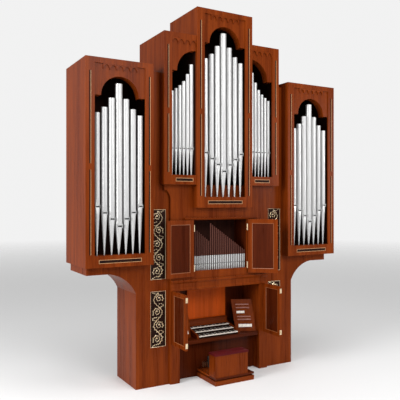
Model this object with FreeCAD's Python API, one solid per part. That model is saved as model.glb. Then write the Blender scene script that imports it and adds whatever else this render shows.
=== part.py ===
"""A pipe organ with five pipe towers, a built-in console, a pedal platform and a bench.

Millimetres, +Z up. The front faces -Y, and the player's left is -X. Sizes and places are
worked out from the floor, the middle of the case and its back face, and each piece is moved
at the end so that the origin lies on the floor in the middle of the base. The model is in
its open state: the two upper doors and the two pairs of folding console doors stand open.
"""
import FreeCAD, Part
import math
import os

V = FreeCAD.Vector

# --- boards ----------------------------------------------------------------
BOARD = 30.0               # thickness of the case's front, side and top boards
BACK_BOARD = 22.0          # thickness of the back boards
LINING_BOARD = 20.0        # thickness of knee panel, console back and other linings

# --- lower case ------------------------------------------------------------
BASE_HALF_WIDTH = 1655.0
BASE_DEPTH = 865.0         # back face to the front of the wings
FLOOR_BOARD = 40.0         # thickness of the bottom boards
CENTRE_HALF_WIDTH = 1030.0
CENTRE_STEP = 52.0         # how far the centre section stands ahead of the wings
CENTRE_TOP = 3469.0
WING_TOP = 5400.0

# --- towers ----------------------------------------------------------------
OUTER_HALF_SPAN = 2593.0   # middle of the case to the outer side of an outer tower
OUTER_WIDTH = 1175.0
OUTER_BOTTOM = 2118.0
OUTER_TOP = 5473.0
CENTRE_TOWER_WIDTH = 1168.0
CENTRE_TOWER_BOTTOM = 3064.0
CENTRE_TOWER_TOP = 6584.0
INNER_HALF_SPAN = 1213.0   # middle of the case to the outer side of an inner tower
INNER_TOP = 6079.0
TOWER_DEPTH = 1068.0       # back face to the front of the outer and centre towers
INNER_SETBACK = 20.0       # inner towers stand this much behind the centre tower
STILE_WIDTH = 150.0
TOP_RAIL = 90.0
BOTTOM_RAIL = 192.0
INNER_BOTTOM_RAIL = 165.0
HEADER_SETBACK = 20.0      # arched header board behind the face of the tower
HEADER_DEPTH = 150.0
ARCH_RADIUS = 325.0
INNER_ARCH_REACH = 375.0   # width of the half arch of an inner tower
ARCH_CROWN_DROP = 182.0    # underside of the top rail down to the arch's crown
TOE_BOARD = 30.0

# --- front pipes, from the edge of a tower to its middle -------------------
PIPE_SETBACK = 88.0        # pipe axes behind the face of a tower
PIPE_PITCH = 124.0
PIPE_TIP_RADIUS = 11.0
WIDE_PIPE_RADII = (48.0, 50.0, 53.0, 58.0)
WIDE_MOUTH_HEIGHTS = (773.0, 672.0, 570.0, 450.0)  # above the top of the bottom rail
WIDE_TOP_DROPS = (602.0, 507.0, 350.0, 110.0)      # below the crown of the arch
INNER_PIPE_RADII = (30.0, 30.0, 31.0, 33.0, 35.0, 37.0)
INNER_PIPE_PITCH = 76.0
INNER_MOUTH_HEIGHT = 455.0
INNER_TOP_DROPS = (725.0, 675.0, 617.0, 540.0, 409.0, 232.0)

# --- brackets under the towers ---------------------------------------------
BRACKET_REACH = 860.0      # how far an outer bracket reaches out from the side of the base
BRACKET_SLAB = 140.0
BRACKET_COVE_REACH = 487.0
BRACKET_COVE_DROP = 360.0
CORBEL_REACH = 125.0
CORBEL_SLAB = 97.0
CORBEL_COVE_REACH = 75.0
CORBEL_COVE_DROP = 170.0

# --- carved panels of the wings --------------------------------------------
CARVING_INSIDE = 65.0      # from the centre section's side to the panel
CARVING_OUTSIDE = 33.0     # from the panel to the outer tower's side
CARVING_POCKET = 14.0
CARVING_THICKNESS = 9.0
LOWER_CARVING = (670.0, 1630.0)
UPPER_CARVING = (1831.0, 3038.0)

# --- upper opening with its small pipes ------------------------------------
OPENING_HALF_WIDTH = 568.0
OPENING_BOTTOM = 1940.0
OPENING_TOP = 2845.0
LEDGE_HALF_WIDTH = 770.0
LEDGE_HEIGHT = 40.0
LEDGE_PROJECTION = 43.0
PIPE_BOX_DEPTH = 420.0
CHEST_HEIGHT = 70.0
SMALL_PIPES_LEFT = 9
SMALL_PIPES_RIGHT = 19
SMALL_PIPE_RADIUS = 11.0
SMALL_PIPE_TIP = 9.0
SMALL_PIPE_SETBACK = 40.0  # row of small pipes behind the inside of the front boards
SMALL_MOUTH_HEIGHT = 120.0
SMALL_TOPS_LEFT = (770.0, 520.0)     # from the outermost pipe to the gap
SMALL_TOPS_RIGHT = (835.0, 330.0)    # from the gap to the outermost pipe

# --- doors -----------------------------------------------------------------
UPPER_LEAF_THICKNESS = 22.0
UPPER_LEAF_GAP = 2.0       # between the leaf and the front boards behind it
UPPER_LEAF_OVERLAP = 95.0  # how far a leaf covers the board under the opening
UPPER_LEFT_SWING = 175.0   # degrees from closed
UPPER_RIGHT_SWING = 142.0
UPPER_LEAF_STILE = 75.0
LEAF_POCKET = 8.0
FOLD_LEAF_WIDTH = 490.0
FOLD_LEAF_THICKNESS = 20.0
FOLD_LEAF_GAP = 2.0
FOLD_LEAF_EDGE = 75.0      # side of the centre section to the inner face of the folded pair
FOLD_LEAF_STILE = 62.0
FOLD_LEAF_DROP = 10.0      # top of the key bed down to the bottom of the leaves
HINGE_PLATE = (84.0, 4.0)  # height and thickness of the hinge plates of the folding doors
HINGE_PLATE_INSET = 40.0   # top and bottom edges of a leaf to its hinge plates
BARREL_HEIGHT = 120.0      # barrels of the upper doors
BARREL_INSET = 85.0

# --- console ---------------------------------------------------------------
PILASTER_WIDTH = 180.0
KEY_BED_TOP = 700.0
CONSOLE_TOP = 1615.0
CONSOLE_DEPTH = 577.0      # face of the centre section to the console's back
FRIEZE_TOP = 1800.0
FRIEZE_PROJECTIONS = (34.0, 12.0, 24.0)
KEY_BED = 60.0
MANUAL_HALF_WIDTH = 417.0
MANUAL_SETBACK = 77.0      # face of the centre section to the front of the lowest manual
MANUAL_STEP = 150.0
MANUAL_RISE = 46.0
MANUAL_HEIGHT = 42.0       # key bed to the keys of the lowest manual
KEY_CHEEK_WIDTH = 38.0
KEY_CHEEK_LIP = 16.0
JAMB_INNER = (485.0, 253.0)  # half width, and distance behind the face, of a jamb's inner edge
JAMB_SET_BACK = 95.0         # a jamb's outer edge behind the face
JAMB_GAP = 1.0               # between that edge and the cheek
JAMB_TOP = 1280.0
JAMB_LEAN = 172.0            # how far a jamb's top leans back
NAME_BOARD_HEIGHT = 130.0    # board over the back of the top manual, under the music panel
NAME_BOARD_DEPTH = 57.0
KNEE_DEPTH = 197.0         # face of the centre section to the knee panel

# --- pedals and bench ------------------------------------------------------
PEDAL_HALF_WIDTH = 400.0
PEDAL_FRONT = 1385.0       # back face of the case to the front of the platform
PEDAL_BASE = 78.0
PEDAL_GAP = 27.0           # dark gap between the platform and the board above it
PEDAL_DECK = 30.0
PEDAL_REST = 25.0
PEDAL_REST_INSET = 28.0
PEDAL_KEYS = 18
PEDAL_KEY_WIDTH = 20.0
LEVER_COUNT = 3            # toe levers on each side
LEVER_PITCH = 40.0
LEVER_FIRST = 200.0        # middle of the case to the nearest lever
LEVER_SIZE = (16.0, 45.0, 84.0)
LEVER_BOTTOM = 158.0
SHOE_WIDTH = 105.0
SHOE_CENTRES = (-125.0, 5.0)
SHOE_HEIGHT = 195.0
SHOE_BOTTOM_DEPTH = 70.0
SHOE_TOP_DEPTH = 34.0
BENCH_WIDTH = 670.0
BENCH_CENTRE = -65.0
BENCH_DEPTH = 220.0
BENCH_HEIGHT = 545.0
SEAT_THICKNESS = 34.0
SEAT_OVERHANG = 12.0
BENCH_BOARD = 25.0

# --- places that follow from the sizes above -------------------------------
base_front = -BASE_DEPTH
centre_front = base_front - CENTRE_STEP
centre_inside = centre_front + BOARD
tower_front = -TOWER_DEPTH
inner_front = tower_front + INNER_SETBACK
outer_inside = OUTER_HALF_SPAN - OUTER_WIDTH
tower_half = CENTRE_TOWER_WIDTH / 2
crown_depth = TOP_RAIL + ARCH_CROWN_DROP
pilaster_inside = CENTRE_HALF_WIDTH - PILASTER_WIDTH
console_back = centre_front + CONSOLE_DEPTH
knee_front = centre_front + KNEE_DEPTH
fold_inside = CENTRE_HALF_WIDTH - FOLD_LEAF_EDGE
leaf_bottom = KEY_BED_TOP - FOLD_LEAF_DROP
barrel_radius = UPPER_LEAF_GAP + UPPER_LEAF_THICKNESS / 2
deck_bottom = PEDAL_BASE + PEDAL_GAP
pedal_top = deck_bottom + PEDAL_DECK
bench_back = BENCH_DEPTH - PEDAL_FRONT


def board(x0, x1, y0, y1, z0, z1):
    """A rectangular board between two corners."""
    return Part.makeBox(x1 - x0, y1 - y0, z1 - z0, V(x0, y0, z0))


def mirrored(shape):
    """The same piece on the other side of the case."""
    return shape.mirror(V(0, 0, 0), V(1, 0, 0))


def pair(shape):
    """A piece on the right and its mirror image on the left."""
    return [mirrored(shape), shape]


def solid_of(edges, sweep):
    """A solid swept straight from a closed outline."""
    return Part.Face(Part.Wire(edges)).extrude(sweep)


def outline(points):
    """Straight edges round a closed list of points."""
    return [Part.LineSegment(a, b).toShape() for a, b in zip(points, points[1:] + points[:1])]


def save(name, shapes):
    """Write one named sub-part as a STEP file."""
    shape = shapes[0] if len(shapes) == 1 else Part.makeCompound(shapes)
    shape.translate(V(0, BASE_DEPTH / 2, 0))
    shape.exportStep(os.path.join("parts", name + ".step"))


# --- lower case ------------------------------------------------------------
def base_floors():
    """Bottom boards of the two wings and of the middle behind the knee panel."""
    wing = board(CENTRE_HALF_WIDTH, BASE_HALF_WIDTH - BOARD, base_front + BOARD, -BACK_BOARD, 0, FLOOR_BOARD)
    middle = board(-pilaster_inside, pilaster_inside, knee_front + LINING_BOARD, -BACK_BOARD,
                   0, FLOOR_BOARD)
    return pair(wing) + [middle]


def base_side():
    """Right-hand side board, from the floor to the underside of the outer tower."""
    return board(BASE_HALF_WIDTH - BOARD, BASE_HALF_WIDTH, base_front + BOARD, 0, 0, OUTER_BOTTOM)


def carving_box(z_range, y0, y1):
    """A block as large as one carved panel, on the right-hand wing."""
    x0 = CENTRE_HALF_WIDTH + CARVING_INSIDE
    return board(x0, outer_inside - CARVING_OUTSIDE, y0, y1, z_range[0], z_range[1])


def wing_front():
    """Tall front board of the right-hand wing with a shallow pocket for each carved panel."""
    front = board(CENTRE_HALF_WIDTH, outer_inside, base_front, base_front + BOARD, 0, CENTRE_TOP)
    for z_range in (LOWER_CARVING, UPPER_CARVING):
        front = front.cut(carving_box(z_range, base_front, base_front + CARVING_POCKET))
    return front


def carved_panel(z_range):
    """Thin carved panel that lies in its pocket."""
    pocket_floor = base_front + CARVING_POCKET
    return carving_box(z_range, pocket_floor - CARVING_THICKNESS, pocket_floor)


def wing_strips():
    """Front boards beside and above the tall board of the right-hand wing."""
    lower = board(outer_inside, BASE_HALF_WIDTH, base_front, base_front + BOARD, 0, OUTER_BOTTOM)
    upper = board(INNER_HALF_SPAN, outer_inside, base_front, base_front + BOARD,
                  CENTRE_TOP, WING_TOP - BOARD)
    return [lower, upper]


def wing_top():
    """Cap over the strip of case between the outer and the inner tower."""
    return board(INNER_HALF_SPAN, outer_inside, base_front, 0, WING_TOP - BOARD, WING_TOP)


def back_boards():
    """Back boards of the lower case and of the strips between the towers."""
    middle = board(-outer_inside, outer_inside, -BACK_BOARD, 0, 0, CENTRE_TOP)
    lower = board(outer_inside, BASE_HALF_WIDTH - BOARD, -BACK_BOARD, 0, 0, OUTER_BOTTOM)
    upper = board(INNER_HALF_SPAN, outer_inside, -BACK_BOARD, 0, CENTRE_TOP, WING_TOP - BOARD)
    return [middle], pair(lower) + pair(upper)


def coved_bracket(x_wall, reach, slab, cove_reach, cove_drop, top, y0, y1):
    """A bracket with a flat slab at its top and a hollow curve down to the wall."""
    slab_bottom = top - slab
    foot = V(x_wall, y0, slab_bottom - cove_drop)
    lip = V(x_wall + cove_reach, y0, slab_bottom)
    bow = V(x_wall + cove_reach * 0.36, y0, slab_bottom - cove_drop * 0.36)
    outer_low = V(x_wall + reach, y0, slab_bottom)
    outer_high = V(x_wall + reach, y0, top)
    wall_high = V(x_wall, y0, top)
    edges = [
        Part.Arc(foot, bow, lip).toShape(),
        Part.LineSegment(lip, outer_low).toShape(),
        Part.LineSegment(outer_low, outer_high).toShape(),
        Part.LineSegment(outer_high, wall_high).toShape(),
        Part.LineSegment(wall_high, foot).toShape(),
    ]
    return solid_of(edges, V(0, y1 - y0, 0))


def base_bracket():
    """Bracket that carries the right-hand outer tower from the side of the base."""
    return coved_bracket(BASE_HALF_WIDTH, BRACKET_REACH, BRACKET_SLAB, BRACKET_COVE_REACH,
                         BRACKET_COVE_DROP, OUTER_BOTTOM, base_front, 0)


def inner_corbel():
    """Small bracket that carries the right-hand inner tower from the centre section."""
    return coved_bracket(CENTRE_HALF_WIDTH, CORBEL_REACH, CORBEL_SLAB, CORBEL_COVE_REACH,
                         CORBEL_COVE_DROP, CENTRE_TOP, centre_front, base_front)


# --- centre section --------------------------------------------------------
def centre_side():
    """Right-hand side board of the centre section."""
    return board(CENTRE_HALF_WIDTH - BOARD, CENTRE_HALF_WIDTH, centre_inside, -BACK_BOARD, 0, CENTRE_TOP)


def pilaster():
    """Flat post on the right of the kneehole and the console."""
    return board(pilaster_inside, CENTRE_HALF_WIDTH, centre_front, centre_inside, 0, CONSOLE_TOP)


def console_cheek():
    """Board that lines the right-hand side of the kneehole and the console."""
    return board(pilaster_inside, pilaster_inside + BOARD, centre_inside, console_back, 0, CONSOLE_TOP)


def opening_boards():
    """Front boards under, beside and over the upper opening."""
    half = CENTRE_HALF_WIDTH
    sill = board(-half, half, centre_front, centre_inside, FRIEZE_TOP, OPENING_BOTTOM)
    stile = board(OPENING_HALF_WIDTH, half, centre_front, centre_inside, OPENING_BOTTOM, OPENING_TOP)
    head = board(-half, half, centre_front, centre_inside, OPENING_TOP, CENTRE_TOP)
    return [sill], pair(stile), [head]


def frieze():
    """Moulded board between the console and the upper opening."""
    crown, flat, foot = FRIEZE_PROJECTIONS
    height = FRIEZE_TOP - CONSOLE_TOP
    profile = [
        (centre_inside, CONSOLE_TOP),
        (centre_front - foot, CONSOLE_TOP),
        (centre_front - foot, CONSOLE_TOP + height * 0.15),
        (centre_front - flat, CONSOLE_TOP + height * 0.25),
        (centre_front - flat, FRIEZE_TOP - height * 0.35),
        (centre_front - crown, FRIEZE_TOP - height * 0.18),
        (centre_front - crown, FRIEZE_TOP),
        (centre_inside, FRIEZE_TOP),
    ]
    points = [V(-CENTRE_HALF_WIDTH, y, z) for y, z in profile]
    return solid_of(outline(points), V(2 * CENTRE_HALF_WIDTH, 0, 0))


def opening_ledge():
    """Small cornice over the upper opening."""
    face = centre_front
    profile = [
        (face, OPENING_TOP),
        (face - LEDGE_PROJECTION * 0.5, OPENING_TOP),
        (face - LEDGE_PROJECTION, OPENING_TOP + LEDGE_HEIGHT * 0.5),
        (face - LEDGE_PROJECTION, OPENING_TOP + LEDGE_HEIGHT),
        (face, OPENING_TOP + LEDGE_HEIGHT),
    ]
    points = [V(-LEDGE_HALF_WIDTH, y, z) for y, z in profile]
    return solid_of(outline(points), V(2 * LEDGE_HALF_WIDTH, 0, 0))


def pipe_box():
    """Cheeks, back and top of the box behind the upper opening."""
    back = centre_inside + PIPE_BOX_DEPTH
    inside = OPENING_HALF_WIDTH
    half = inside + BOARD
    cheek = board(inside, half, centre_inside, back, OPENING_BOTTOM, OPENING_TOP)
    rear = board(-inside, inside, back - LINING_BOARD, back, OPENING_BOTTOM, OPENING_TOP)
    lid = board(-half, half, centre_inside, back, OPENING_TOP, OPENING_TOP + LINING_BOARD)
    return pair(cheek), [rear], [lid]


def wind_chest():
    """Chest that the small pipes stand on."""
    back = centre_inside + PIPE_BOX_DEPTH
    half = OPENING_HALF_WIDTH + BOARD
    return board(-half, half, centre_inside, back, OPENING_BOTTOM - CHEST_HEIGHT, OPENING_BOTTOM)


# --- pipes -----------------------------------------------------------------
def pipe(x, y, foot, mouth, top, radius, tip):
    """One pipe: a conical foot up to its mouth and a straight body above it."""
    points = [V(0, 0, foot), V(tip, 0, foot), V(radius, 0, mouth), V(radius, 0, top), V(0, 0, top)]
    turned = Part.Face(Part.Wire(outline(points))).revolve(V(0, 0, 0), V(0, 0, 1), 360)
    turned.translate(V(x, y, 0))
    return turned


def wide_pipes(x_middle, foot, tower_top):
    """Seven pipes of a wide tower, tallest in the middle."""
    y = tower_front + PIPE_SETBACK
    crown = tower_top - crown_depth
    last = len(WIDE_PIPE_RADII) - 1
    pipes = []
    for place in range(-last, last + 1):
        size = last - abs(place)
        pipes.append(pipe(x_middle + place * PIPE_PITCH, y, foot, foot + WIDE_MOUTH_HEIGHTS[size],
                          crown - WIDE_TOP_DROPS[size], WIDE_PIPE_RADII[size], PIPE_TIP_RADIUS))
    return pipes


def inner_pipes():
    """Six pipes of the right-hand inner tower, tallest beside the centre tower."""
    y = inner_front + PIPE_SETBACK
    foot = CENTRE_TOP + INNER_BOTTOM_RAIL
    crown = INNER_TOP - crown_depth
    first = INNER_HALF_SPAN - STILE_WIDTH - INNER_PIPE_PITCH / 2
    pipes = []
    for place, (radius, drop) in enumerate(zip(INNER_PIPE_RADII, INNER_TOP_DROPS)):
        pipes.append(pipe(first - place * INNER_PIPE_PITCH, y, foot, foot + INNER_MOUTH_HEIGHT,
                          crown - drop, radius, PIPE_TIP_RADIUS))
    return pipes


def small_pipes():
    """Row of small pipes in the upper opening, in two falling groups."""
    y = centre_inside + SMALL_PIPE_SETBACK
    count = SMALL_PIPES_LEFT + SMALL_PIPES_RIGHT
    pitch = 2 * OPENING_HALF_WIDTH / count
    pipes = []
    for place in range(count):
        if place < SMALL_PIPES_LEFT:
            (high, low), share = SMALL_TOPS_LEFT, place / (SMALL_PIPES_LEFT - 1)
        else:
            (high, low), share = SMALL_TOPS_RIGHT, (place - SMALL_PIPES_LEFT) / (SMALL_PIPES_RIGHT - 1)
        x = -OPENING_HALF_WIDTH + (place + 0.5) * pitch
        pipes.append(pipe(x, y, OPENING_BOTTOM, OPENING_BOTTOM + SMALL_MOUTH_HEIGHT,
                          OPENING_BOTTOM + high + (low - high) * share, SMALL_PIPE_RADIUS, SMALL_PIPE_TIP))
    return pipes


# --- towers ----------------------------------------------------------------
def tower_sides():
    """Side boards of the five towers."""
    y0 = tower_front + BOARD
    sides = []
    for x in (outer_inside, OUTER_HALF_SPAN - BOARD):
        sides += pair(board(x, x + BOARD, y0, 0, OUTER_BOTTOM, OUTER_TOP))
    x = INNER_HALF_SPAN - BOARD
    sides += pair(board(x, INNER_HALF_SPAN, inner_front + BOARD, 0, CENTRE_TOP, INNER_TOP))
    sides += pair(board(tower_half - BOARD, tower_half, y0, 0, CENTRE_TOP, CENTRE_TOWER_TOP))
    return sides


def between_sides(y_front, y_back, outer_z, inner_z, centre_z):
    """A board for each tower between its sides; each z pair gives one board's bottom and top."""
    outer = board(outer_inside + BOARD, OUTER_HALF_SPAN - BOARD, y_front, y_back, *outer_z)
    inner_y = max(y_front, inner_front + BOARD)
    inner = board(tower_half, INNER_HALF_SPAN - BOARD, inner_y, y_back, *inner_z)
    half = tower_half - BOARD
    centre = board(-half, half, y_front, y_back, *centre_z)
    return pair(outer) + pair(inner) + [centre]


def tower_tops():
    """Top boards of the five towers."""
    levels = [(top - BOARD, top) for top in (OUTER_TOP, INNER_TOP, CENTRE_TOWER_TOP)]
    return between_sides(tower_front + BOARD, 0, *levels)


def tower_backs():
    """Back boards of the five towers."""
    return between_sides(-BACK_BOARD, 0, (OUTER_BOTTOM + BOARD, OUTER_TOP - BOARD),
                         (CENTRE_TOP + BOARD, INNER_TOP - BOARD), (CENTRE_TOP, CENTRE_TOWER_TOP - BOARD))


def tower_floors():
    """Bottom boards of the five towers; the centre tower's stops at the centre section."""
    y0 = tower_front + BOARD
    outer = board(outer_inside + BOARD, OUTER_HALF_SPAN - BOARD, y0, 0, OUTER_BOTTOM, OUTER_BOTTOM + BOARD)
    inner = board(tower_half, INNER_HALF_SPAN - BOARD, inner_front + BOARD, 0,
                  CENTRE_TOP, CENTRE_TOP + BOARD)
    half = tower_half - BOARD
    bottom = CENTRE_TOWER_BOTTOM
    centre = board(-half, half, y0, centre_front, bottom, bottom + BOARD)
    return pair(outer) + pair(inner) + [centre]


def apron_cheek():
    """Side of the part of the centre tower that hangs in front of the centre section."""
    y0 = tower_front + BOARD
    return board(tower_half - BOARD, tower_half, y0, centre_front, CENTRE_TOWER_BOTTOM, CENTRE_TOP)


def tower_stiles():
    """Upright front boards of the five towers."""
    stiles = []
    for x in (outer_inside, OUTER_HALF_SPAN - STILE_WIDTH):
        stiles += pair(board(x, x + STILE_WIDTH, tower_front, tower_front + BOARD, OUTER_BOTTOM, OUTER_TOP))
    x = INNER_HALF_SPAN - STILE_WIDTH
    stiles += pair(board(x, INNER_HALF_SPAN, inner_front, inner_front + BOARD, CENTRE_TOP, INNER_TOP))
    x = tower_half - STILE_WIDTH
    y1 = tower_front + BOARD
    stiles += pair(board(x, tower_half, tower_front, y1, CENTRE_TOWER_BOTTOM, CENTRE_TOWER_TOP))
    return stiles


def tower_rails():
    """Level front boards at the foot and the head of the five towers."""
    x0 = outer_inside + STILE_WIDTH
    x1 = OUTER_HALF_SPAN - STILE_WIDTH
    y1 = tower_front + BOARD
    rails = pair(board(x0, x1, tower_front, y1, OUTER_BOTTOM, OUTER_BOTTOM + BOTTOM_RAIL))
    rails += pair(board(x0, x1, tower_front, y1, OUTER_TOP - TOP_RAIL, OUTER_TOP))
    x1 = INNER_HALF_SPAN - STILE_WIDTH
    y1 = inner_front + BOARD
    rails += pair(board(tower_half, x1, inner_front, y1, CENTRE_TOP, CENTRE_TOP + INNER_BOTTOM_RAIL))
    rails += pair(board(tower_half, x1, inner_front, y1, INNER_TOP - TOP_RAIL, INNER_TOP))
    half = tower_half - STILE_WIDTH
    y1 = tower_front + BOARD
    rails.append(board(-half, half, tower_front, y1, CENTRE_TOWER_BOTTOM, CENTRE_TOWER_BOTTOM + BOTTOM_RAIL))
    rails.append(board(-half, half, tower_front, y1, CENTRE_TOWER_TOP - TOP_RAIL, CENTRE_TOWER_TOP))
    return rails


def wide_header(x_middle, half, top):
    """Arched board that closes the head of a wide tower's opening."""
    y0 = tower_front + HEADER_SETBACK
    spring = top - ARCH_CROWN_DROP - ARCH_RADIUS
    left, right = x_middle - ARCH_RADIUS, x_middle + ARCH_RADIUS
    corners = [V(right, y0, spring), V(x_middle + half, y0, spring), V(x_middle + half, y0, top),
               V(x_middle - half, y0, top), V(x_middle - half, y0, spring), V(left, y0, spring)]
    edges = [Part.LineSegment(a, b).toShape() for a, b in zip(corners, corners[1:])]
    crown = V(x_middle, y0, spring + ARCH_RADIUS)
    edges.append(Part.Arc(corners[-1], crown, corners[0]).toShape())
    return solid_of(edges, V(0, HEADER_DEPTH, 0))


def inner_header():
    """Half-arched board of the right-hand inner tower, rising towards the centre tower."""
    y0 = inner_front + HEADER_SETBACK
    top = INNER_TOP - TOP_RAIL
    crown_height = top - ARCH_CROWN_DROP
    spring = crown_height - INNER_ARCH_REACH
    arch_end = tower_half + INNER_ARCH_REACH
    outer = INNER_HALF_SPAN - STILE_WIDTH
    diagonal = INNER_ARCH_REACH * math.sin(math.radians(45))
    crown = V(tower_half, y0, crown_height)
    bow = V(tower_half + diagonal, y0, spring + diagonal)
    corners = [V(arch_end, y0, spring), V(outer, y0, spring), V(outer, y0, top),
               V(tower_half, y0, top), crown]
    edges = [Part.LineSegment(a, b).toShape() for a, b in zip(corners, corners[1:])]
    edges.append(Part.Arc(crown, bow, corners[0]).toShape())
    return solid_of(edges, V(0, HEADER_DEPTH, 0))


def tower_headers():
    """Arched boards of the five towers."""
    middle = OUTER_HALF_SPAN - OUTER_WIDTH / 2
    outer = wide_header(middle, OUTER_WIDTH / 2 - STILE_WIDTH, OUTER_TOP - TOP_RAIL)
    centre = wide_header(0, tower_half - STILE_WIDTH, CENTRE_TOWER_TOP - TOP_RAIL)
    return pair(outer) + pair(inner_header()) + [centre]


def toe_boards():
    """Boards that the front pipes stand on."""
    outer_level = OUTER_BOTTOM + BOTTOM_RAIL
    outer = board(outer_inside + BOARD, OUTER_HALF_SPAN - BOARD, tower_front + BOARD,
                  tower_front + HEADER_SETBACK + HEADER_DEPTH, outer_level - TOE_BOARD, outer_level)
    inner_level = CENTRE_TOP + INNER_BOTTOM_RAIL
    inner = board(tower_half, INNER_HALF_SPAN - BOARD, inner_front + BOARD,
                  inner_front + HEADER_SETBACK + HEADER_DEPTH, inner_level - TOE_BOARD, inner_level)
    centre_level = CENTRE_TOWER_BOTTOM + BOTTOM_RAIL
    half = tower_half - BOARD
    centre = board(-half, half, tower_front + BOARD, centre_front, centre_level - TOE_BOARD, centre_level)
    return pair(outer) + pair(inner) + [centre]


# --- doors -----------------------------------------------------------------
def framed_leaf(width, height, thickness, stile):
    """A door leaf in the XZ plane with a recessed panel on both faces; its hinge edge is at X = 0."""
    leaf = board(0, width, 0, thickness, 0, height)
    for y in (0, thickness - LEAF_POCKET):
        leaf = leaf.cut(board(stile, width - stile, y, y + LEAF_POCKET, stile, height - stile))
    return leaf


def upper_door(x_hinge, heading):
    """One leaf of the upper opening; heading is the way it points from its hinge, in degrees."""
    bottom = OPENING_BOTTOM - UPPER_LEAF_OVERLAP
    height = OPENING_TOP - UPPER_LEAF_GAP - bottom
    width = OPENING_HALF_WIDTH - UPPER_LEAF_GAP - barrel_radius
    leaf = framed_leaf(width, height, UPPER_LEAF_THICKNESS, UPPER_LEAF_STILE)
    leaf.translate(V(barrel_radius, -UPPER_LEAF_THICKNESS / 2, 0))
    leaf.rotate(V(0, 0, 0), V(0, 0, 1), heading)
    leaf.translate(V(x_hinge, centre_front - barrel_radius, bottom))
    return leaf


def upper_doors():
    """The two leaves of the upper opening, swung open round their barrels."""
    left = upper_door(-OPENING_HALF_WIDTH, -UPPER_LEFT_SWING)
    right = upper_door(OPENING_HALF_WIDTH, 180 + UPPER_RIGHT_SWING)
    return [left, right]


def barrel_hinges():
    """Barrels of the upper doors, two to a leaf, seated against the front boards."""
    bottom = OPENING_BOTTOM - UPPER_LEAF_OVERLAP + BARREL_INSET
    top = OPENING_TOP - UPPER_LEAF_GAP - BARREL_INSET - BARREL_HEIGHT
    barrels = []
    for z in (bottom, top):
        foot = V(OPENING_HALF_WIDTH, centre_front - barrel_radius, z)
        barrels += pair(Part.makeCylinder(barrel_radius, BARREL_HEIGHT, foot))
    return barrels


def folding_leaf(inside, seat):
    """One leaf of the right-hand folding door, standing square to the front."""
    height = CONSOLE_TOP - FOLD_LEAF_GAP - leaf_bottom
    leaf = framed_leaf(FOLD_LEAF_WIDTH - seat, height, FOLD_LEAF_THICKNESS, FOLD_LEAF_STILE)
    leaf.rotate(V(0, 0, 0), V(0, 0, 1), -90)
    leaf.translate(V(inside, centre_front - seat, leaf_bottom))
    return leaf


def fold_hinges():
    """Plates that join the two leaves of a folding door along their free edges."""
    height, thickness = HINGE_PLATE
    y1 = centre_front - FOLD_LEAF_WIDTH
    width = 2 * FOLD_LEAF_THICKNESS + FOLD_LEAF_GAP
    bottom = leaf_bottom + HINGE_PLATE_INSET
    top = CONSOLE_TOP - FOLD_LEAF_GAP - HINGE_PLATE_INSET - height
    plates = []
    for z in (bottom, top):
        plate = board(fold_inside, fold_inside + width, y1 - thickness, y1, z, z + height)
        plates += pair(plate)
    return plates


# --- console ---------------------------------------------------------------
def key_bed():
    """Board that carries the manuals."""
    return board(-pilaster_inside, pilaster_inside, centre_front + BOARD, console_back,
                 KEY_BED_TOP - KEY_BED, KEY_BED_TOP)


def console_lining():
    """Back and top boards of the console."""
    rear = board(-pilaster_inside, pilaster_inside, console_back, console_back + LINING_BOARD,
                 KEY_BED_TOP - KEY_BED, CONSOLE_TOP)
    half = CENTRE_HALF_WIDTH - BOARD
    lid = board(-half, half, centre_inside, console_back + LINING_BOARD,
                CONSOLE_TOP, CONSOLE_TOP + LINING_BOARD)
    return [rear], [lid]


def manual_front(level):
    """Y of the front of a manual, counted from 0 at the bottom."""
    return centre_front + MANUAL_SETBACK + level * MANUAL_STEP


def manual(level):
    """One manual: its keys and the frame under them."""
    y0 = manual_front(level)
    top = KEY_BED_TOP + MANUAL_HEIGHT + level * MANUAL_RISE
    return board(-MANUAL_HALF_WIDTH, MANUAL_HALF_WIDTH, y0, y0 + MANUAL_STEP, KEY_BED_TOP, top)


def key_cheek():
    """Sloping block beside the right-hand ends of the manuals."""
    low = KEY_BED_TOP + MANUAL_HEIGHT + KEY_CHEEK_LIP
    high = low + 2 * MANUAL_RISE + KEY_CHEEK_LIP
    x0 = MANUAL_HALF_WIDTH
    points = [V(x0, manual_front(0), KEY_BED_TOP), V(x0, manual_front(3), KEY_BED_TOP),
              V(x0, manual_front(3), high), V(x0, manual_front(0), low)]
    return solid_of(outline(points), V(KEY_CHEEK_WIDTH, 0, 0))


def stop_jamb():
    """Splayed board on the right of the manuals, which leans back and carries the stop tabs."""
    inner = V(JAMB_INNER[0], centre_front + JAMB_INNER[1], KEY_BED_TOP)
    outer = V(pilaster_inside - JAMB_GAP, centre_front + JAMB_SET_BACK, KEY_BED_TOP)
    behind = V(0, LINING_BOARD, 0)
    points = [inner, outer, outer + behind, inner + behind]
    return solid_of(outline(points), V(0, JAMB_LEAN, JAMB_TOP - KEY_BED_TOP))


def music_desk():
    """Name board over the top manual, and the upright music panel behind it."""
    y0 = manual_front(3)
    z0 = KEY_BED_TOP + MANUAL_HEIGHT + 2 * MANUAL_RISE
    half = MANUAL_HALF_WIDTH
    name_board = board(-half, half, y0 - NAME_BOARD_DEPTH, y0, z0, z0 + NAME_BOARD_HEIGHT)
    panel = board(-half, half, y0, y0 + LINING_BOARD, KEY_BED_TOP, CONSOLE_TOP)
    return [name_board, panel]


# --- kneehole, pedals and bench --------------------------------------------
def knee_panel():
    """Board at the back of the kneehole."""
    return board(-pilaster_inside, pilaster_inside, knee_front, knee_front + LINING_BOARD,
                 0, KEY_BED_TOP - KEY_BED)


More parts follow.
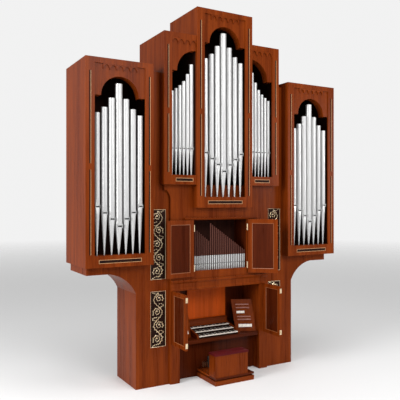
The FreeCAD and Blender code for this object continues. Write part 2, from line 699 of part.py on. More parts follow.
def toe_levers():
    """Upright levers on the knee panel, worked by the player's toes."""
    width, length, height = LEVER_SIZE
    levers = []
    for place in range(LEVER_COUNT):
        x = LEVER_FIRST + place * LEVER_PITCH
        levers += pair(board(x - width / 2, x + width / 2, knee_front - length, knee_front,
                             LEVER_BOTTOM, LEVER_BOTTOM + height))
    return levers


def swell_shoes():
    """Two tilted foot pedals on the knee panel."""
    shoes = []
    for middle in SHOE_CENTRES:
        x0 = middle - SHOE_WIDTH / 2
        shoe_top = pedal_top + SHOE_HEIGHT
        points = [V(x0, knee_front, pedal_top), V(x0, knee_front - SHOE_BOTTOM_DEPTH, pedal_top),
                  V(x0, knee_front - SHOE_TOP_DEPTH, shoe_top), V(x0, knee_front, shoe_top)]
        shoes.append(solid_of(outline(points), V(SHOE_WIDTH, 0, 0)))
    return shoes


def pedal_base():
    """Lower board of the pedal platform, on the floor."""
    return board(-PEDAL_HALF_WIDTH, PEDAL_HALF_WIDTH, -PEDAL_FRONT, knee_front, 0, PEDAL_BASE)


def pedal_rests():
    """Cross bars set back from the edges, between the lower board and the upper one."""
    half = PEDAL_HALF_WIDTH - PEDAL_REST_INSET
    rests = []
    for y in (-PEDAL_FRONT + PEDAL_REST_INSET, knee_front - PEDAL_REST_INSET - PEDAL_REST):
        rests.append(board(-half, half, y, y + PEDAL_REST, PEDAL_BASE, deck_bottom))
    return rests


def pedal_deck():
    """Board under the bench, at the front of the platform."""
    half = PEDAL_HALF_WIDTH
    return board(-half, half, -PEDAL_FRONT, bench_back, deck_bottom, pedal_top)


def pedal_keys():
    """Pedal keys between the bench and the knee panel."""
    pitch = 2 * PEDAL_HALF_WIDTH / PEDAL_KEYS
    keys = []
    for place in range(PEDAL_KEYS):
        x = -PEDAL_HALF_WIDTH + (place + 0.5) * pitch - PEDAL_KEY_WIDTH / 2
        keys.append(board(x, x + PEDAL_KEY_WIDTH, bench_back, knee_front, deck_bottom, pedal_top))
    return keys


def bench():
    """Seat, front board and ends of the bench."""
    x0 = BENCH_CENTRE - BENCH_WIDTH / 2
    x1 = BENCH_CENTRE + BENCH_WIDTH / 2
    y0 = -PEDAL_FRONT + SEAT_OVERHANG
    y1 = bench_back
    underside = BENCH_HEIGHT - SEAT_THICKNESS
    seat = board(x0 - SEAT_OVERHANG, x1 + SEAT_OVERHANG, y0 - SEAT_OVERHANG, y1, underside, BENCH_HEIGHT)
    front = board(x0, x1, y0, y0 + BENCH_BOARD, pedal_top, underside)
    ends = []
    for x in (x0, x1 - BENCH_BOARD):
        ends.append(board(x, x + BENCH_BOARD, y0 + BENCH_BOARD, y1, pedal_top, underside))
    return [seat], [front], ends


def main():
    os.makedirs("parts", exist_ok=True)
    save("base_floors", base_floors())
    save("base_sides", pair(base_side()))
    save("wing_fronts", pair(wing_front()))
    save("wing_strips", [piece for strip in wing_strips() for piece in pair(strip)])
    save("carved_panels", pair(carved_panel(LOWER_CARVING)) + pair(carved_panel(UPPER_CARVING)))
    back_middle, back_strips = back_boards()
    save("back_middle", back_middle)
    save("back_strips", back_strips + tower_backs())
    save("brackets", pair(base_bracket()) + pair(inner_corbel()))
    save("centre_sides", pair(centre_side()))
    save("pilasters", pair(pilaster()))
    save("console_cheeks", pair(console_cheek()))
    sill, stiles, head = opening_boards()
    save("centre_fronts", sill + head)
    save("opening_stiles", stiles)
    save("frieze", [frieze()])
    save("opening_ledge", [opening_ledge()])
    cheeks, rear, lid = pipe_box()
    save("pipe_box_cheeks", cheeks)
    save("pipe_box_back", rear)
    save("pipe_box_top", lid)
    save("wind_chest", [wind_chest()])
    save("small_pipes", small_pipes())
    middle = OUTER_HALF_SPAN - OUTER_WIDTH / 2
    outer_foot = OUTER_BOTTOM + BOTTOM_RAIL
    left_pipes = wide_pipes(-middle, outer_foot, OUTER_TOP)
    right_pipes = wide_pipes(middle, outer_foot, OUTER_TOP)
    save("outer_pipes", left_pipes + right_pipes)
    save("inner_pipes", [piece for each in inner_pipes() for piece in pair(each)])
    save("centre_pipes", wide_pipes(0, CENTRE_TOWER_BOTTOM + BOTTOM_RAIL, CENTRE_TOWER_TOP))
    save("tower_sides", tower_sides())
    save("case_tops", tower_tops() + pair(wing_top()))
    save("tower_floors", tower_floors())
    save("apron_cheeks", pair(apron_cheek()))
    save("tower_stiles", tower_stiles())
    save("tower_rails", tower_rails())
    save("tower_headers", tower_headers())
    save("toe_boards", toe_boards())
    left_door, right_door = upper_doors()
    save("upper_door_left", [left_door])
    save("upper_door_right", [right_door])
    outer_face = fold_inside + FOLD_LEAF_THICKNESS + FOLD_LEAF_GAP
    save("fold_leaves_inner", pair(folding_leaf(fold_inside, 0)))
    save("fold_leaves_outer", pair(folding_leaf(outer_face, FOLD_LEAF_GAP)))
    save("door_hinges", barrel_hinges() + fold_hinges())
    save("key_bed", [key_bed()])
    rear, lid = console_lining()
    save("console_back", rear)
    save("console_top", lid)
    for level, name in enumerate(("lower", "middle", "upper")):
        save("manual_" + name, [manual(level)])
    save("key_cheeks", pair(key_cheek()))
    save("stop_jambs", pair(stop_jamb()))
    save("music_desk", music_desk())
    save("knee_panel", [knee_panel()])
    save("toe_levers", toe_levers())
    save("swell_shoes", swell_shoes())
    save("pedal_base", [pedal_base()])
    save("pedal_rests", pedal_rests())
    save("pedal_deck", [pedal_deck()])
    save("pedal_keys", pedal_keys())
    seat, front, ends = bench()
    save("bench_seat", seat)
    save("bench_front", front)
    save("bench_ends", ends)


main()
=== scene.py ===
import math

import bmesh
import bpy
from mathutils import Matrix, Vector


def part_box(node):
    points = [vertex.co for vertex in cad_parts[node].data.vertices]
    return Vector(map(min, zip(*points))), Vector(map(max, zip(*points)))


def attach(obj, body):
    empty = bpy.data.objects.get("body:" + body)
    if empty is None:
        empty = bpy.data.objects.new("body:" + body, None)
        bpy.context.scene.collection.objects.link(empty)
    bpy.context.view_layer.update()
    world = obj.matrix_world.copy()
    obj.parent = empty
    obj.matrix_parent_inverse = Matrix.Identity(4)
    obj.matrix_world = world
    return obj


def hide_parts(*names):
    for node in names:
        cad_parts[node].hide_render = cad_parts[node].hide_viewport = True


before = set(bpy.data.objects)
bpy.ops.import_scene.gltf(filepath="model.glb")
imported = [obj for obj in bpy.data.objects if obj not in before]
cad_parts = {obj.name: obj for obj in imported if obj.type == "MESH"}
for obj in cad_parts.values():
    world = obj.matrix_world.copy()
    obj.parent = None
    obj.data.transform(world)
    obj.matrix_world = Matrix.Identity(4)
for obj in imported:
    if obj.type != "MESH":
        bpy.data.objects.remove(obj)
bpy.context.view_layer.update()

BODY = "root"

bl_info = {
    "name": "Pipe organ case",
    "version": (1, 0, 0),
    "blender": (4, 5, 0),
    "location": "3D Viewport > Sidebar > Pipe Organ",
    "description": "Finishes and details of a pipe organ on its packed frame",
    "category": "Object",
}


# ---------------------------------------------------------------- settings

class CaseFinish(bpy.types.PropertyGroup):
    """Colours of the case, the pipes and the console."""

    mahogany_light: bpy.props.FloatVectorProperty(
        name="Mahogany light", description="Lighter tone of the polished mahogany",
        default=(0.190, 0.033, 0.0034), subtype="COLOR", size=3)
    mahogany_dark: bpy.props.FloatVectorProperty(
        name="Mahogany dark", description="Darker tone of the polished mahogany",
        default=(0.100, 0.0145, 0.0014), subtype="COLOR", size=3)
    panel_light: bpy.props.FloatVectorProperty(
        name="Panel light", description="Lighter tone of the recessed dark panels",
        default=(0.080, 0.0125, 0.0024), subtype="COLOR", size=3)
    panel_dark: bpy.props.FloatVectorProperty(
        name="Panel dark", description="Darker tone of the recessed dark panels",
        default=(0.042, 0.006, 0.0012), subtype="COLOR", size=3)
    lining_light: bpy.props.FloatVectorProperty(
        name="Lining light", description="Lighter tone of the wood that lines the console",
        default=(0.52, 0.073, 0.005), subtype="COLOR", size=3)
    lining_dark: bpy.props.FloatVectorProperty(
        name="Lining dark", description="Darker tone of the wood that lines the console",
        default=(0.34, 0.050, 0.004), subtype="COLOR", size=3)
    # The inside tones are near black: they paint the shade deep inside the towers and the pipe
    # box.
    inside_shade_light: bpy.props.FloatVectorProperty(
        name="Inside light", description="Lighter tone of the dark stain inside the case",
        default=(0.036, 0.010, 0.006), subtype="COLOR", size=3)
    inside_shade_dark: bpy.props.FloatVectorProperty(
        name="Inside dark", description="Darker tone of the dark stain inside the case",
        default=(0.018, 0.005, 0.003), subtype="COLOR", size=3)
    pipe_metal: bpy.props.FloatVectorProperty(
        name="Pipe metal", description="Colour of the polished tin pipes",
        default=(0.58, 0.58, 0.575), subtype="COLOR", size=3)
    gilt: bpy.props.FloatVectorProperty(
        name="Gilt", description="Colour of the gilding on carving, inlay and hinges",
        default=(0.90, 0.74, 0.50), subtype="COLOR", size=3)
    ivory: bpy.props.FloatVectorProperty(
        name="Ivory", description="Colour of the natural keys and stop tabs",
        default=(0.95, 0.89, 0.80), subtype="COLOR", size=3)
    ebony: bpy.props.FloatVectorProperty(
        name="Ebony", description="Colour of the sharps",
        default=(0.012, 0.010, 0.009), subtype="COLOR", size=3)


class StudioSettings(bpy.types.PropertyGroup):
    """Sizes of the studio around the organ."""

    floor_reach: bpy.props.FloatProperty(
        name="Floor reach", description="Radius of the floor", default=60.0,
        unit="LENGTH", min=10.0)
    camera_place: bpy.props.FloatVectorProperty(
        name="Camera place", description="Where the camera stands",
        default=(-5.3148, -9.0681, 3.2), subtype="TRANSLATION", size=3)
    camera_turn: bpy.props.FloatProperty(
        name="Camera turn", description="Heading of the level camera, clockwise from +Y",
        default=math.radians(29.575), subtype="ANGLE")
    camera_lens: bpy.props.FloatProperty(
        name="Camera lens", description="Focal length on a 36 mm sensor, in millimetres",
        default=49.82)


# ---------------------------------------------------------------- node trees

COLOUR, NUMBER, ARROW = "NodeSocketColor", "NodeSocketFloat", "NodeSocketVector"
SHAPE, THING, WHOLE = "NodeSocketGeometry", "NodeSocketObject", "NodeSocketInt"
FINISH = "NodeSocketMaterial"


def new_tree(kind, name, inputs, outputs):
    """An empty node tree with named sockets, and the sockets of its two ends."""
    tree = bpy.data.node_groups.new(name, kind)
    for label, socket, default in inputs:
        made = tree.interface.new_socket(label, in_out="INPUT", socket_type=socket)
        if default is not None:
            made.default_value = default
    for label, socket in outputs:
        tree.interface.new_socket(label, in_out="OUTPUT", socket_type=socket)
    into, out = (tree.nodes.new(end) for end in ("NodeGroupInput", "NodeGroupOutput"))
    return tree, into.outputs, out.inputs


def add_node(tree, kind, links=(), **settings):
    """One node with its settings, and links from a node, a socket or a value to an input."""
    node = tree.nodes.new(kind)
    for key, value in settings.items():
        setattr(node, key, value)
    for source, socket in links:
        if isinstance(source, bpy.types.Node):
            source = source.outputs[0]
        if isinstance(source, bpy.types.NodeSocket):
            tree.links.new(source, node.inputs[socket])
        else:
            node.inputs[socket].default_value = source
    return node


def maths(tree, operation, *values):
    links = [(value, index) for index, value in enumerate(values)]
    return add_node(tree, "ShaderNodeMath", links, operation=operation).outputs[0]


def times(tree, first, second):
    return maths(tree, "MULTIPLY", first, second)


def plus(tree, first, second):
    return maths(tree, "ADD", first, second)


def spread(tree, value, low, high, bottom=0.0, top=1.0):
    """A value from low..high mapped to bottom..top and held there."""
    links = [(value, "Value"), (low, "From Min"), (high, "From Max"),
             (bottom, "To Min"), (top, "To Max")]
    return add_node(tree, "ShaderNodeMapRange", links).outputs["Result"]


# ---------------------------------------------------------------- shader groups

FIGURE_TONES = (0.36, 0.64)  # noise values that give the dark and the light tone
PORE_EDGES = (0.60, 0.72)
CLOUD_EDGES = (0.42, 0.68)


def mix_colour(tree, factor, first, second, blend="MIX"):
    links = [(factor, 0), (first, 6), (second, 7)]
    return add_node(tree, "ShaderNodeMix", links, data_type="RGBA", blend_type=blend).outputs[2]


def noise(tree, vector, scale, detail):
    links = [(vector, "Vector"), (scale, "Scale"), (detail, "Detail"), (0.55, "Roughness")]
    return add_node(tree, "ShaderNodeTexNoise", links).outputs["Fac"]


def shader_group(name, inputs):
    """A group that turns a Vector and its settings into colour, roughness and height."""
    return new_tree("ShaderNodeTree", name, [("Vector", ARROW, None), *inputs],
                    [("Color", COLOUR), ("Roughness", NUMBER), ("Height", NUMBER)])


def give(tree, out, **results):
    for label, source in results.items():
        tree.links.new(source, out[label])


def build_wood_figure():
    """Long streaks and short pores of mahogany. The vector runs slowly along the grain."""
    tree, into, out = shader_group("Wood Figure", [
        ("Light", COLOUR, (0.3, 0.06, 0.02, 1.0)), ("Dark", COLOUR, (0.2, 0.03, 0.01, 1.0)),
        ("Streaks", NUMBER, 7.0), ("Pores", NUMBER, 90.0), ("Gloss", NUMBER, 0.3)])
    vector, streaks = into["Vector"], into["Streaks"]
    broad = noise(tree, vector, streaks, 3.0)
    fine = noise(tree, vector, times(tree, streaks, 5.0), 4.0)
    pores = noise(tree, vector, into["Pores"], 2.0)
    figure = plus(tree, times(tree, broad, 0.62), times(tree, fine, 0.38))
    tone = spread(tree, figure, *FIGURE_TONES)
    body = mix_colour(tree, tone, into["Dark"], into["Light"])
    pore = spread(tree, pores, *PORE_EDGES)
    speck = mix_colour(tree, times(tree, pore, 0.35), body, into["Dark"], "MULTIPLY")
    give(tree, out, Color=speck, Roughness=plus(tree, into["Gloss"], times(tree, tone, 0.06)),
         Height=maths(tree, "SUBTRACT", times(tree, fine, 0.4), pore))


def build_patina():
    """Soft cloudy variation of a handled or polished surface."""
    tree, into, out = shader_group("Patina", [
        ("Color", COLOUR, (0.8, 0.8, 0.8, 1.0)), ("Tarnish", COLOUR, (0.4, 0.4, 0.4, 1.0)),
        ("Scale", NUMBER, 8.0), ("Amount", NUMBER, 0.3), ("Gloss", NUMBER, 0.25)])
    vector, scale = into["Vector"], into["Scale"]
    cloud = noise(tree, vector, scale, 5.0)
    grit = noise(tree, vector, times(tree, scale, 12.0), 3.0)
    mask = times(tree, spread(tree, cloud, *CLOUD_EDGES), into["Amount"])
    give(tree, out, Color=mix_colour(tree, mask, into["Color"], into["Tarnish"]),
         Roughness=plus(tree, into["Gloss"], times(tree, mask, 0.35)), Height=grit)


# ---------------------------------------------------------------- materials

WOOD_SPECULAR = 0.06
WOOD_BUMP = (0.12, 0.0006)   # strength and distance
GRAIN_UP = (1.0, 1.0, 0.05)
GRAIN_ACROSS = (0.05, 1.0, 1.0)
GRAIN_DEEP = (1.0, 0.05, 1.0)
DRAWN_UP = (1.0, 1.0, 0.03)
MATERIALS = {}


def rgba(colour, share=1.0):
    return (*(channel * share for channel in colour), 1.0)


def new_material(name, group, stretch, bump, effect_inputs, shader_inputs):
    """A material with one placed group that feeds its Principled shader."""
    material = bpy.data.materials.new(name)
    material.use_nodes = True
    tree = material.node_tree
    tree.nodes.clear()
    place = tree.nodes.new("ShaderNodeTexCoord").outputs["Object"]
    mapping = add_node(tree, "ShaderNodeMapping", [(place, "Vector"), (stretch, "Scale")])
    effect = add_node(tree, "ShaderNodeGroup", [(mapping, "Vector"), *effect_inputs],
                      node_tree=bpy.data.node_groups[group])
    height = add_node(tree, "ShaderNodeBump", [
        (effect.outputs["Height"], "Height"), (bump[0], "Strength"), (bump[1], "Distance")])
    shader = add_node(tree, "ShaderNodeBsdfPrincipled", [
        (effect.outputs["Color"], "Base Color"), (effect.outputs["Roughness"], "Roughness"),
        (height, "Normal"), *shader_inputs])
    add_node(tree, "ShaderNodeOutputMaterial", [(shader, "Surface")])
    MATERIALS[name] = material


def wood(name, light, dark, grain, gloss=0.26, share=1.0):
    new_material(name, "Wood Figure", grain, WOOD_BUMP,
                 [(rgba(light, share), "Light"), (rgba(dark, share), "Dark"), (gloss, "Gloss")],
                 [(WOOD_SPECULAR, "Specular IOR Level")])


def surface(name, colour, tarnish, scale, amount, gloss, metallic=0.0, stretch=(1.0, 1.0, 1.0),
            bump=0.1, coat=0.0):
    new_material(name, "Patina", stretch, (bump, 0.0004),
                 [(rgba(colour), "Color"), (rgba(tarnish), "Tarnish"), (scale, "Scale"),
                  (amount, "Amount"), (gloss, "Gloss")],
                 [(metallic, "Metallic"), (coat, "Coat Weight")])


def build_materials():
    look = bpy.context.scene.organ_finish
    light, dark = look.mahogany_light, look.mahogany_dark
    wood("mahogany_upright", light, dark, GRAIN_UP)
    wood("mahogany_across", light, dark, GRAIN_ACROSS)
    wood("mahogany_deep", light, dark, GRAIN_DEEP)
    # The upright panel finish is the doors' own dark panel colour and also paints shade on the
    # knee panel and the pipe box cheeks.
    wood("panel_and_shade_upright", look.panel_light, look.panel_dark, GRAIN_UP)
    wood("panel_across", look.panel_light, look.panel_dark, GRAIN_ACROSS)
    wood("lining_upright", look.lining_light, look.lining_dark, GRAIN_UP)
    # Near-black inside finish: painted shade of the case's deep insides.
    wood("inside_painted_shade", look.inside_shade_light, look.inside_shade_dark, GRAIN_UP, gloss=0.7)
    # Plain boards at 0.7 of the mahogany: the darker tone also paints shade inside the case.
    wood("plain_boards", light, dark, GRAIN_UP, gloss=0.55, share=0.7)
    # Dark maroon seat tone: painted shade on the seat's polished top.
    wood("seat_polish_and_shade", (0.10, 0.008, 0.010), (0.055, 0.004, 0.006), GRAIN_ACROSS)
    # The dark ground tone; on the stiles it also paints the shade of a groove.
    wood("ground_stain_and_groove_shade", (0.022, 0.007, 0.004), (0.010, 0.004, 0.003), GRAIN_UP, gloss=0.5)
    # The second tin is a whiter copy that paints light on the small pipes' lower band.
    for name, amount, metallic in (("polished_tin", 0.55, 0.6), ("lit_band_tin", 0.3, 0.3)):
        surface(name, look.pipe_metal, (0.42, 0.42, 0.43), 16.0, amount, 0.36,
                metallic=metallic, stretch=DRAWN_UP, bump=0.0)
    # Near black inside the pipes' tops and mouths: painted shade of their hollow insides.
    surface("pipe_bore_shade", (0.020, 0.020, 0.022), (0.01, 0.01, 0.01), 20.0, 0.5, 0.8)
    surface("gilding", look.gilt, (0.45, 0.26, 0.09), 22.0, 0.55, 0.28, metallic=1.0, bump=0.3)
    surface("ivory", look.ivory, (0.80, 0.70, 0.54), 30.0, 0.25, 0.30, coat=0.2)
    surface("ebony", look.ebony, (0.03, 0.022, 0.018), 40.0, 0.5, 0.25,
            stretch=(1.0, 0.1, 1.0), coat=0.3)
    # Dark reddish metal on the small pipes' bodies above the band: painted shade under the top of
    # their opening.
    surface("painted_shade_metal", (0.15, 0.055, 0.04), (0.06, 0.02, 0.015), 10.0, 0.5, 0.30,
            metallic=0.8, stretch=(1.0, 1.0, 0.06), bump=0.05)
    # The light line; on the stiles, where it runs along one side only, it also paints a groove's
    # lit edge.
    surface("stringing_and_lit_edge", (0.56, 0.30, 0.13), (0.36, 0.15, 0.06), 30.0, 0.4, 0.35)
    # Pale beads that paint the light catching the edges of the door panels' recesses.
    surface("painted_highlight_bead", (0.26, 0.080, 0.022), (0.16, 0.038, 0.010), 20.0, 0.5, 0.3)
    surface("tab_wood", (0.30, 0.09, 0.05), (0.16, 0.03, 0.015), 30.0, 0.5, 0.3)
    surface("rubber", (0.018, 0.018, 0.019), (0.05, 0.048, 0.045), 25.0, 0.6, 0.6, bump=0.4)


# ---------------------------------------------------------------- boards that keep their mesh

NODE_FINISHES = {
    "mahogany_upright": (
        "base_sides", "centre_sides", "wing_fronts", "wing_strips", "pilasters",
        "tower_sides", "tower_stiles", "opening_stiles", "console_cheeks", "apron_cheeks",
        "brackets", "upper_door_left", "upper_door_right", "fold_leaves_inner",
        "fold_leaves_outer", "stop_jambs", "bench_ends", "bench_front", "tower_rails",
        "tower_headers", "centre_fronts", "frieze"),
    "mahogany_across": (
        "tower_floors", "opening_ledge", "bench_seat", "pedal_base", "case_tops"),
    "panel_across": ("key_bed", "pedal_deck", "pedal_rests"),
    "mahogany_deep": ("key_cheeks", "pedal_keys"),
    "lining_upright": ("music_desk",),
    # The knee panel and the pipe box cheeks take the dark panel finish as painted shade.
    "panel_and_shade_upright": ("console_back", "console_top", "knee_panel", "pipe_box_cheeks"),
    # The darker plain boards also paint shade on the back and the inside parts.
    "plain_boards": ("back_middle", "base_floors", "toe_boards", "wind_chest"),
    # Near-black boards that paint the shade inside the towers and the pipe box.
    "inside_painted_shade": ("back_strips", "pipe_box_back", "pipe_box_top"),
    "polished_tin": ("outer_pipes", "centre_pipes", "inner_pipes", "small_pipes"),
    "gilding": ("carved_panels", "door_hinges", "toe_levers"),
    "ivory": ("manual_lower", "manual_middle", "manual_upper"),
    "rubber": ("swell_shoes",),
}


def finish_boards():
    for material, nodes in NODE_FINISHES.items():
        for node in nodes:
            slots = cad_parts[node].data.materials
            slots.clear()
            slots.append(MATERIALS[material])


# ---------------------------------------------------------------- reading the frame

def loose_parts(node):
    """The separate solids of a node from left to right, each as its list of corners."""
    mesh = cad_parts[node].data
    keys = [tuple(round(c, 5) for c in corner.co) for corner in mesh.vertices]
    leader = {key: key for key in keys}

    def find(key):
        while leader[key] != key:
            leader[key] = leader[leader[key]]
            key = leader[key]
        return key

    for face in mesh.polygons:
        first = find(keys[face.vertices[0]])
        for corner in face.vertices[1:]:
            leader[find(keys[corner])] = first
    solids = {}
    for key in leader:
        solids.setdefault(find(key), []).append(Vector(key))
    return sorted(solids.values(), key=lambda corners: tuple(extent(corners)[0]))


def extent(corners):
    """Lowest and highest corner of a list of points."""
    return tuple(Vector(pick(corner[axis] for corner in corners) for axis in range(3))
                 for pick in (min, max))


def boxes_of(node):
    return [extent(corners) for corners in loose_parts(node)]


def frame_matrix(along, out, up, place):
    """Matrix from a face's own run, depth outwards and height to the frame."""
    rows = [(along[axis], out[axis], up[axis], place[axis]) for axis in range(3)]
    return Matrix((*rows, (0.0, 0.0, 0.0, 1.0)))


ALONG_X, ALONG_Y, UP = Vector((1.0, 0.0, 0.0)), Vector((0.0, 1.0, 0.0)), Vector((0.0, 0.0, 1.0))
LEVEL = Matrix.Identity(4)


def front_face(x, y, z):
    """Matrix for a face that looks to the front: run along X, depth towards -Y."""
    return frame_matrix(ALONG_X, -ALONG_Y, UP, (x, y, z))


class Leaf:
    """Plan and size of an upright board that may stand at an angle."""

    def __init__(self, corners):
        low, high = extent(corners)
        middle = (low + high) / 2
        sxx = sum((c.x - middle.x) ** 2 for c in corners)
        syy = sum((c.y - middle.y) ** 2 for c in corners)
        sxy = sum((c.x - middle.x) * (c.y - middle.y) for c in corners)
        turn = math.atan2(2 * sxy, sxx - syy) / 2
        self.along = Vector((math.cos(turn), math.sin(turn), 0.0))
        self.across = Vector((math.sin(turn), -math.cos(turn), 0.0))
        runs = [(c - middle).dot(self.along) for c in corners]
        depths = [(c - middle).dot(self.across) for c in corners]
        self.middle = (middle + self.along * (min(runs) + max(runs)) / 2
                       + self.across * (min(depths) + max(depths)) / 2)
        self.half_length = (max(runs) - min(runs)) / 2
        self.half_thickness = (max(depths) - min(depths)) / 2
        self.half_height = (high.z - low.z) / 2

    def face(self, side):
        """Matrix of one of the two faces; its depth goes outwards."""
        out = self.across * side
        return frame_matrix(self.along * side, out, UP, self.middle + out * self.half_thickness)


# ---------------------------------------------------------------- making pieces

SMOOTH_ANGLE = math.radians(33.0)
SUNK = -0.001                # depth at which an applied piece starts, inside its board


def link_object(name, data):
    made = bpy.data.objects.new(name, data)
    bpy.context.scene.collection.objects.link(made)
    return made


def place_piece(name, mesh, material=None, replaces=()):
    """Links a finished mesh, gives it its finish and hangs it on the case."""
    if material:
        mesh.materials.clear()
        mesh.materials.append(MATERIALS[material])
    mesh.shade_smooth()
    mesh.set_sharp_from_angle(angle=SMOOTH_ANGLE)
    mesh.name = name
    piece = link_object(name, mesh)
    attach(piece, BODY)
    if replaces:
        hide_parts(*replaces)
    return piece


def mesh_of(bm):
    """Closes a bmesh into a mesh whose faces look outwards."""
    bmesh.ops.recalc_face_normals(bm, faces=bm.faces)
    mesh = bpy.data.meshes.new("made")
    bm.to_mesh(mesh)
    bm.free()
    return mesh


def add_band(bm, lower, upper, skip=()):
    """Faces between two rings of corners."""
    made = []
    for index in range(len(lower)):
        after = (index + 1) % len(lower)
        if index not in skip:
            made.append(bm.faces.new((lower[index], lower[after], upper[after], upper[index])))
    return made


def add_skin(bm, rings, capped=True):
    """A skin over rings of points: capped at both ends, or led back to the first ring."""
    loops = [[bm.verts.new(point) for point in ring] for ring in rings]
    if capped:
        bm.faces.new(loops[0])
        bm.faces.new(loops[-1])
    else:
        loops.append(loops[0])
    for lower, upper in zip(loops, loops[1:]):
        add_band(bm, lower, upper)


def at_depth(matrix, outline, depth):
    return [matrix @ Vector((x, depth, z)) for x, z in outline]


def add_prism(bm, matrix, outline, depth0, depth1):
    """A prism: an outline of (run, height) points between two depths."""
    add_skin(bm, [at_depth(matrix, outline, depth) for depth in (depth0, depth1)])


def rectangle(x0, x1, z0, z1, inset):
    return [(x0 + inset, z0 + inset), (x1 - inset, z0 + inset),
            (x1 - inset, z1 - inset), (x0 + inset, z1 - inset)]


def add_block(bm, matrix, x0, x1, d0, d1, z0, z1, chamfer=0.0):
    """A board from d0 to d1 in depth, with an optional chamfer round its outer face."""
    steps = [(0.0, d0), (0.0, d1 - chamfer)] + ([(chamfer, d1)] if chamfer else [])
    add_skin(bm, [at_depth(matrix, rectangle(x0, x1, z0, z1, inset), depth)
                  for inset, depth in steps])


def add_ring(bm, matrix, half_run, z0, z1, profile):
    """A mitred frame: a closed profile of (inset, depth) points led round a rectangle."""
    add_skin(bm, [at_depth(matrix, rectangle(-half_run, half_run, z0, z1, inset), depth)
                  for inset, depth in profile], capped=False)


# ---------------------------------------------------------------- geometry trees

def geometry_tree(name, inputs):
    """An empty geometry tree that takes seed corners, named inputs and two finishes."""
    inputs = [("Geometry", SHAPE, None), *inputs, ("Finish", FINISH, None),
              ("Second Finish", FINISH, None)]
    return new_tree("GeometryNodeTree", name, inputs, [("Geometry", SHAPE)])


def named(tree, label, kind="FLOAT"):
    return add_node(tree, "GeometryNodeInputNamedAttribute", [(label, "Name")],
                    data_type=kind).outputs["Attribute"]


def pattern_of(tree, socket):
    return add_node(tree, "GeometryNodeObjectInfo", [(socket, "Object")]).outputs["Geometry"]


def scattered(tree, points, pattern, *links):
    return add_node(tree, "GeometryNodeInstanceOnPoints",
                    [(points, "Points"), (pattern, "Instance"), *links])


def realized(tree, geometry):
    return add_node(tree, "GeometryNodeRealizeInstances", [(geometry, "Geometry")])


def dressed(tree, geometry, finish, *links):
    return add_node(tree, "GeometryNodeSetMaterial",
                    [(geometry, "Geometry"), (finish, "Material"), *links])


def joined(tree, parts):
    join = add_node(tree, "GeometryNodeJoinGeometry")
    for part in parts:
        tree.links.new(part.outputs[0], join.inputs[0])
    return join


def close_tree(tree, geometry, into, out, second=None):
    """Ends a tree: realizes the instances and sets one or two finishes."""
    finish = dressed(tree, realized(tree, geometry), into["Finish"])
    if second:
        finish = dressed(tree, finish, into["Second Finish"], (second, "Selection"))
    tree.links.new(finish.outputs[0], out[0])


def build_row_tree():
    """Sets a pattern out in equal steps from every seed corner."""
    tree, into, out = geometry_tree("Even Row", [
        ("Pattern", THING, None), ("Count", WHOLE, 5), ("Step", ARROW, (0.1, 0.0, 0.0)),
        ("Turn", ARROW, (0.0, 0.0, 0.0))])
    line = add_node(tree, "GeometryNodeMeshLine",
                    [(into["Count"], "Count"), (into["Step"], "Offset")])
    spots = realized(tree, scattered(tree, into["Geometry"], line))
    things = scattered(tree, spots, pattern_of(tree, into["Pattern"]),
                       (into["Turn"], "Rotation"))
    close_tree(tree, things, into, out, named(tree, "second", "INT"))


def build_keyboard_tree():
    """Naturals in a row, with a sharp after each one but the third and seventh of an octave."""
    tree, into, out = geometry_tree("Keyboard", [
        ("Natural", THING, None), ("Sharp", THING, None), ("Naturals", WHOLE, 36),
        ("Pitch", NUMBER, 0.023)])
    pitch = into["Pitch"]
    step = add_node(tree, "ShaderNodeCombineXYZ", [(pitch, "X")])
    half = add_node(tree, "ShaderNodeCombineXYZ", [(times(tree, pitch, 0.5), "X")])
    rows = []
    for pattern, start, count in (
            ("Natural", half, into["Naturals"]),
            ("Sharp", step, maths(tree, "SUBTRACT", into["Naturals"], 1.0))):
        line = add_node(tree, "GeometryNodeMeshLine",
                        [(count, "Count"), (start, "Start Location"), (step, "Offset")])
        spots = realized(tree, scattered(tree, into["Geometry"], line))
        rows.append(scattered(tree, spots, pattern_of(tree, into[pattern])))
    place = maths(tree, "MODULO", tree.nodes.new("GeometryNodeInputIndex").outputs[0], 7.0)
    third, seventh = (maths(tree, "COMPARE", place, number, 0.1) for number in (2.0, 6.0))
    present = maths(tree, "SUBTRACT", 1.0, plus(tree, third, seventh))
    tree.links.new(present, rows[1].inputs["Selection"])
    close_tree(tree, joined(tree, rows), into, out, named(tree, "second", "INT"))


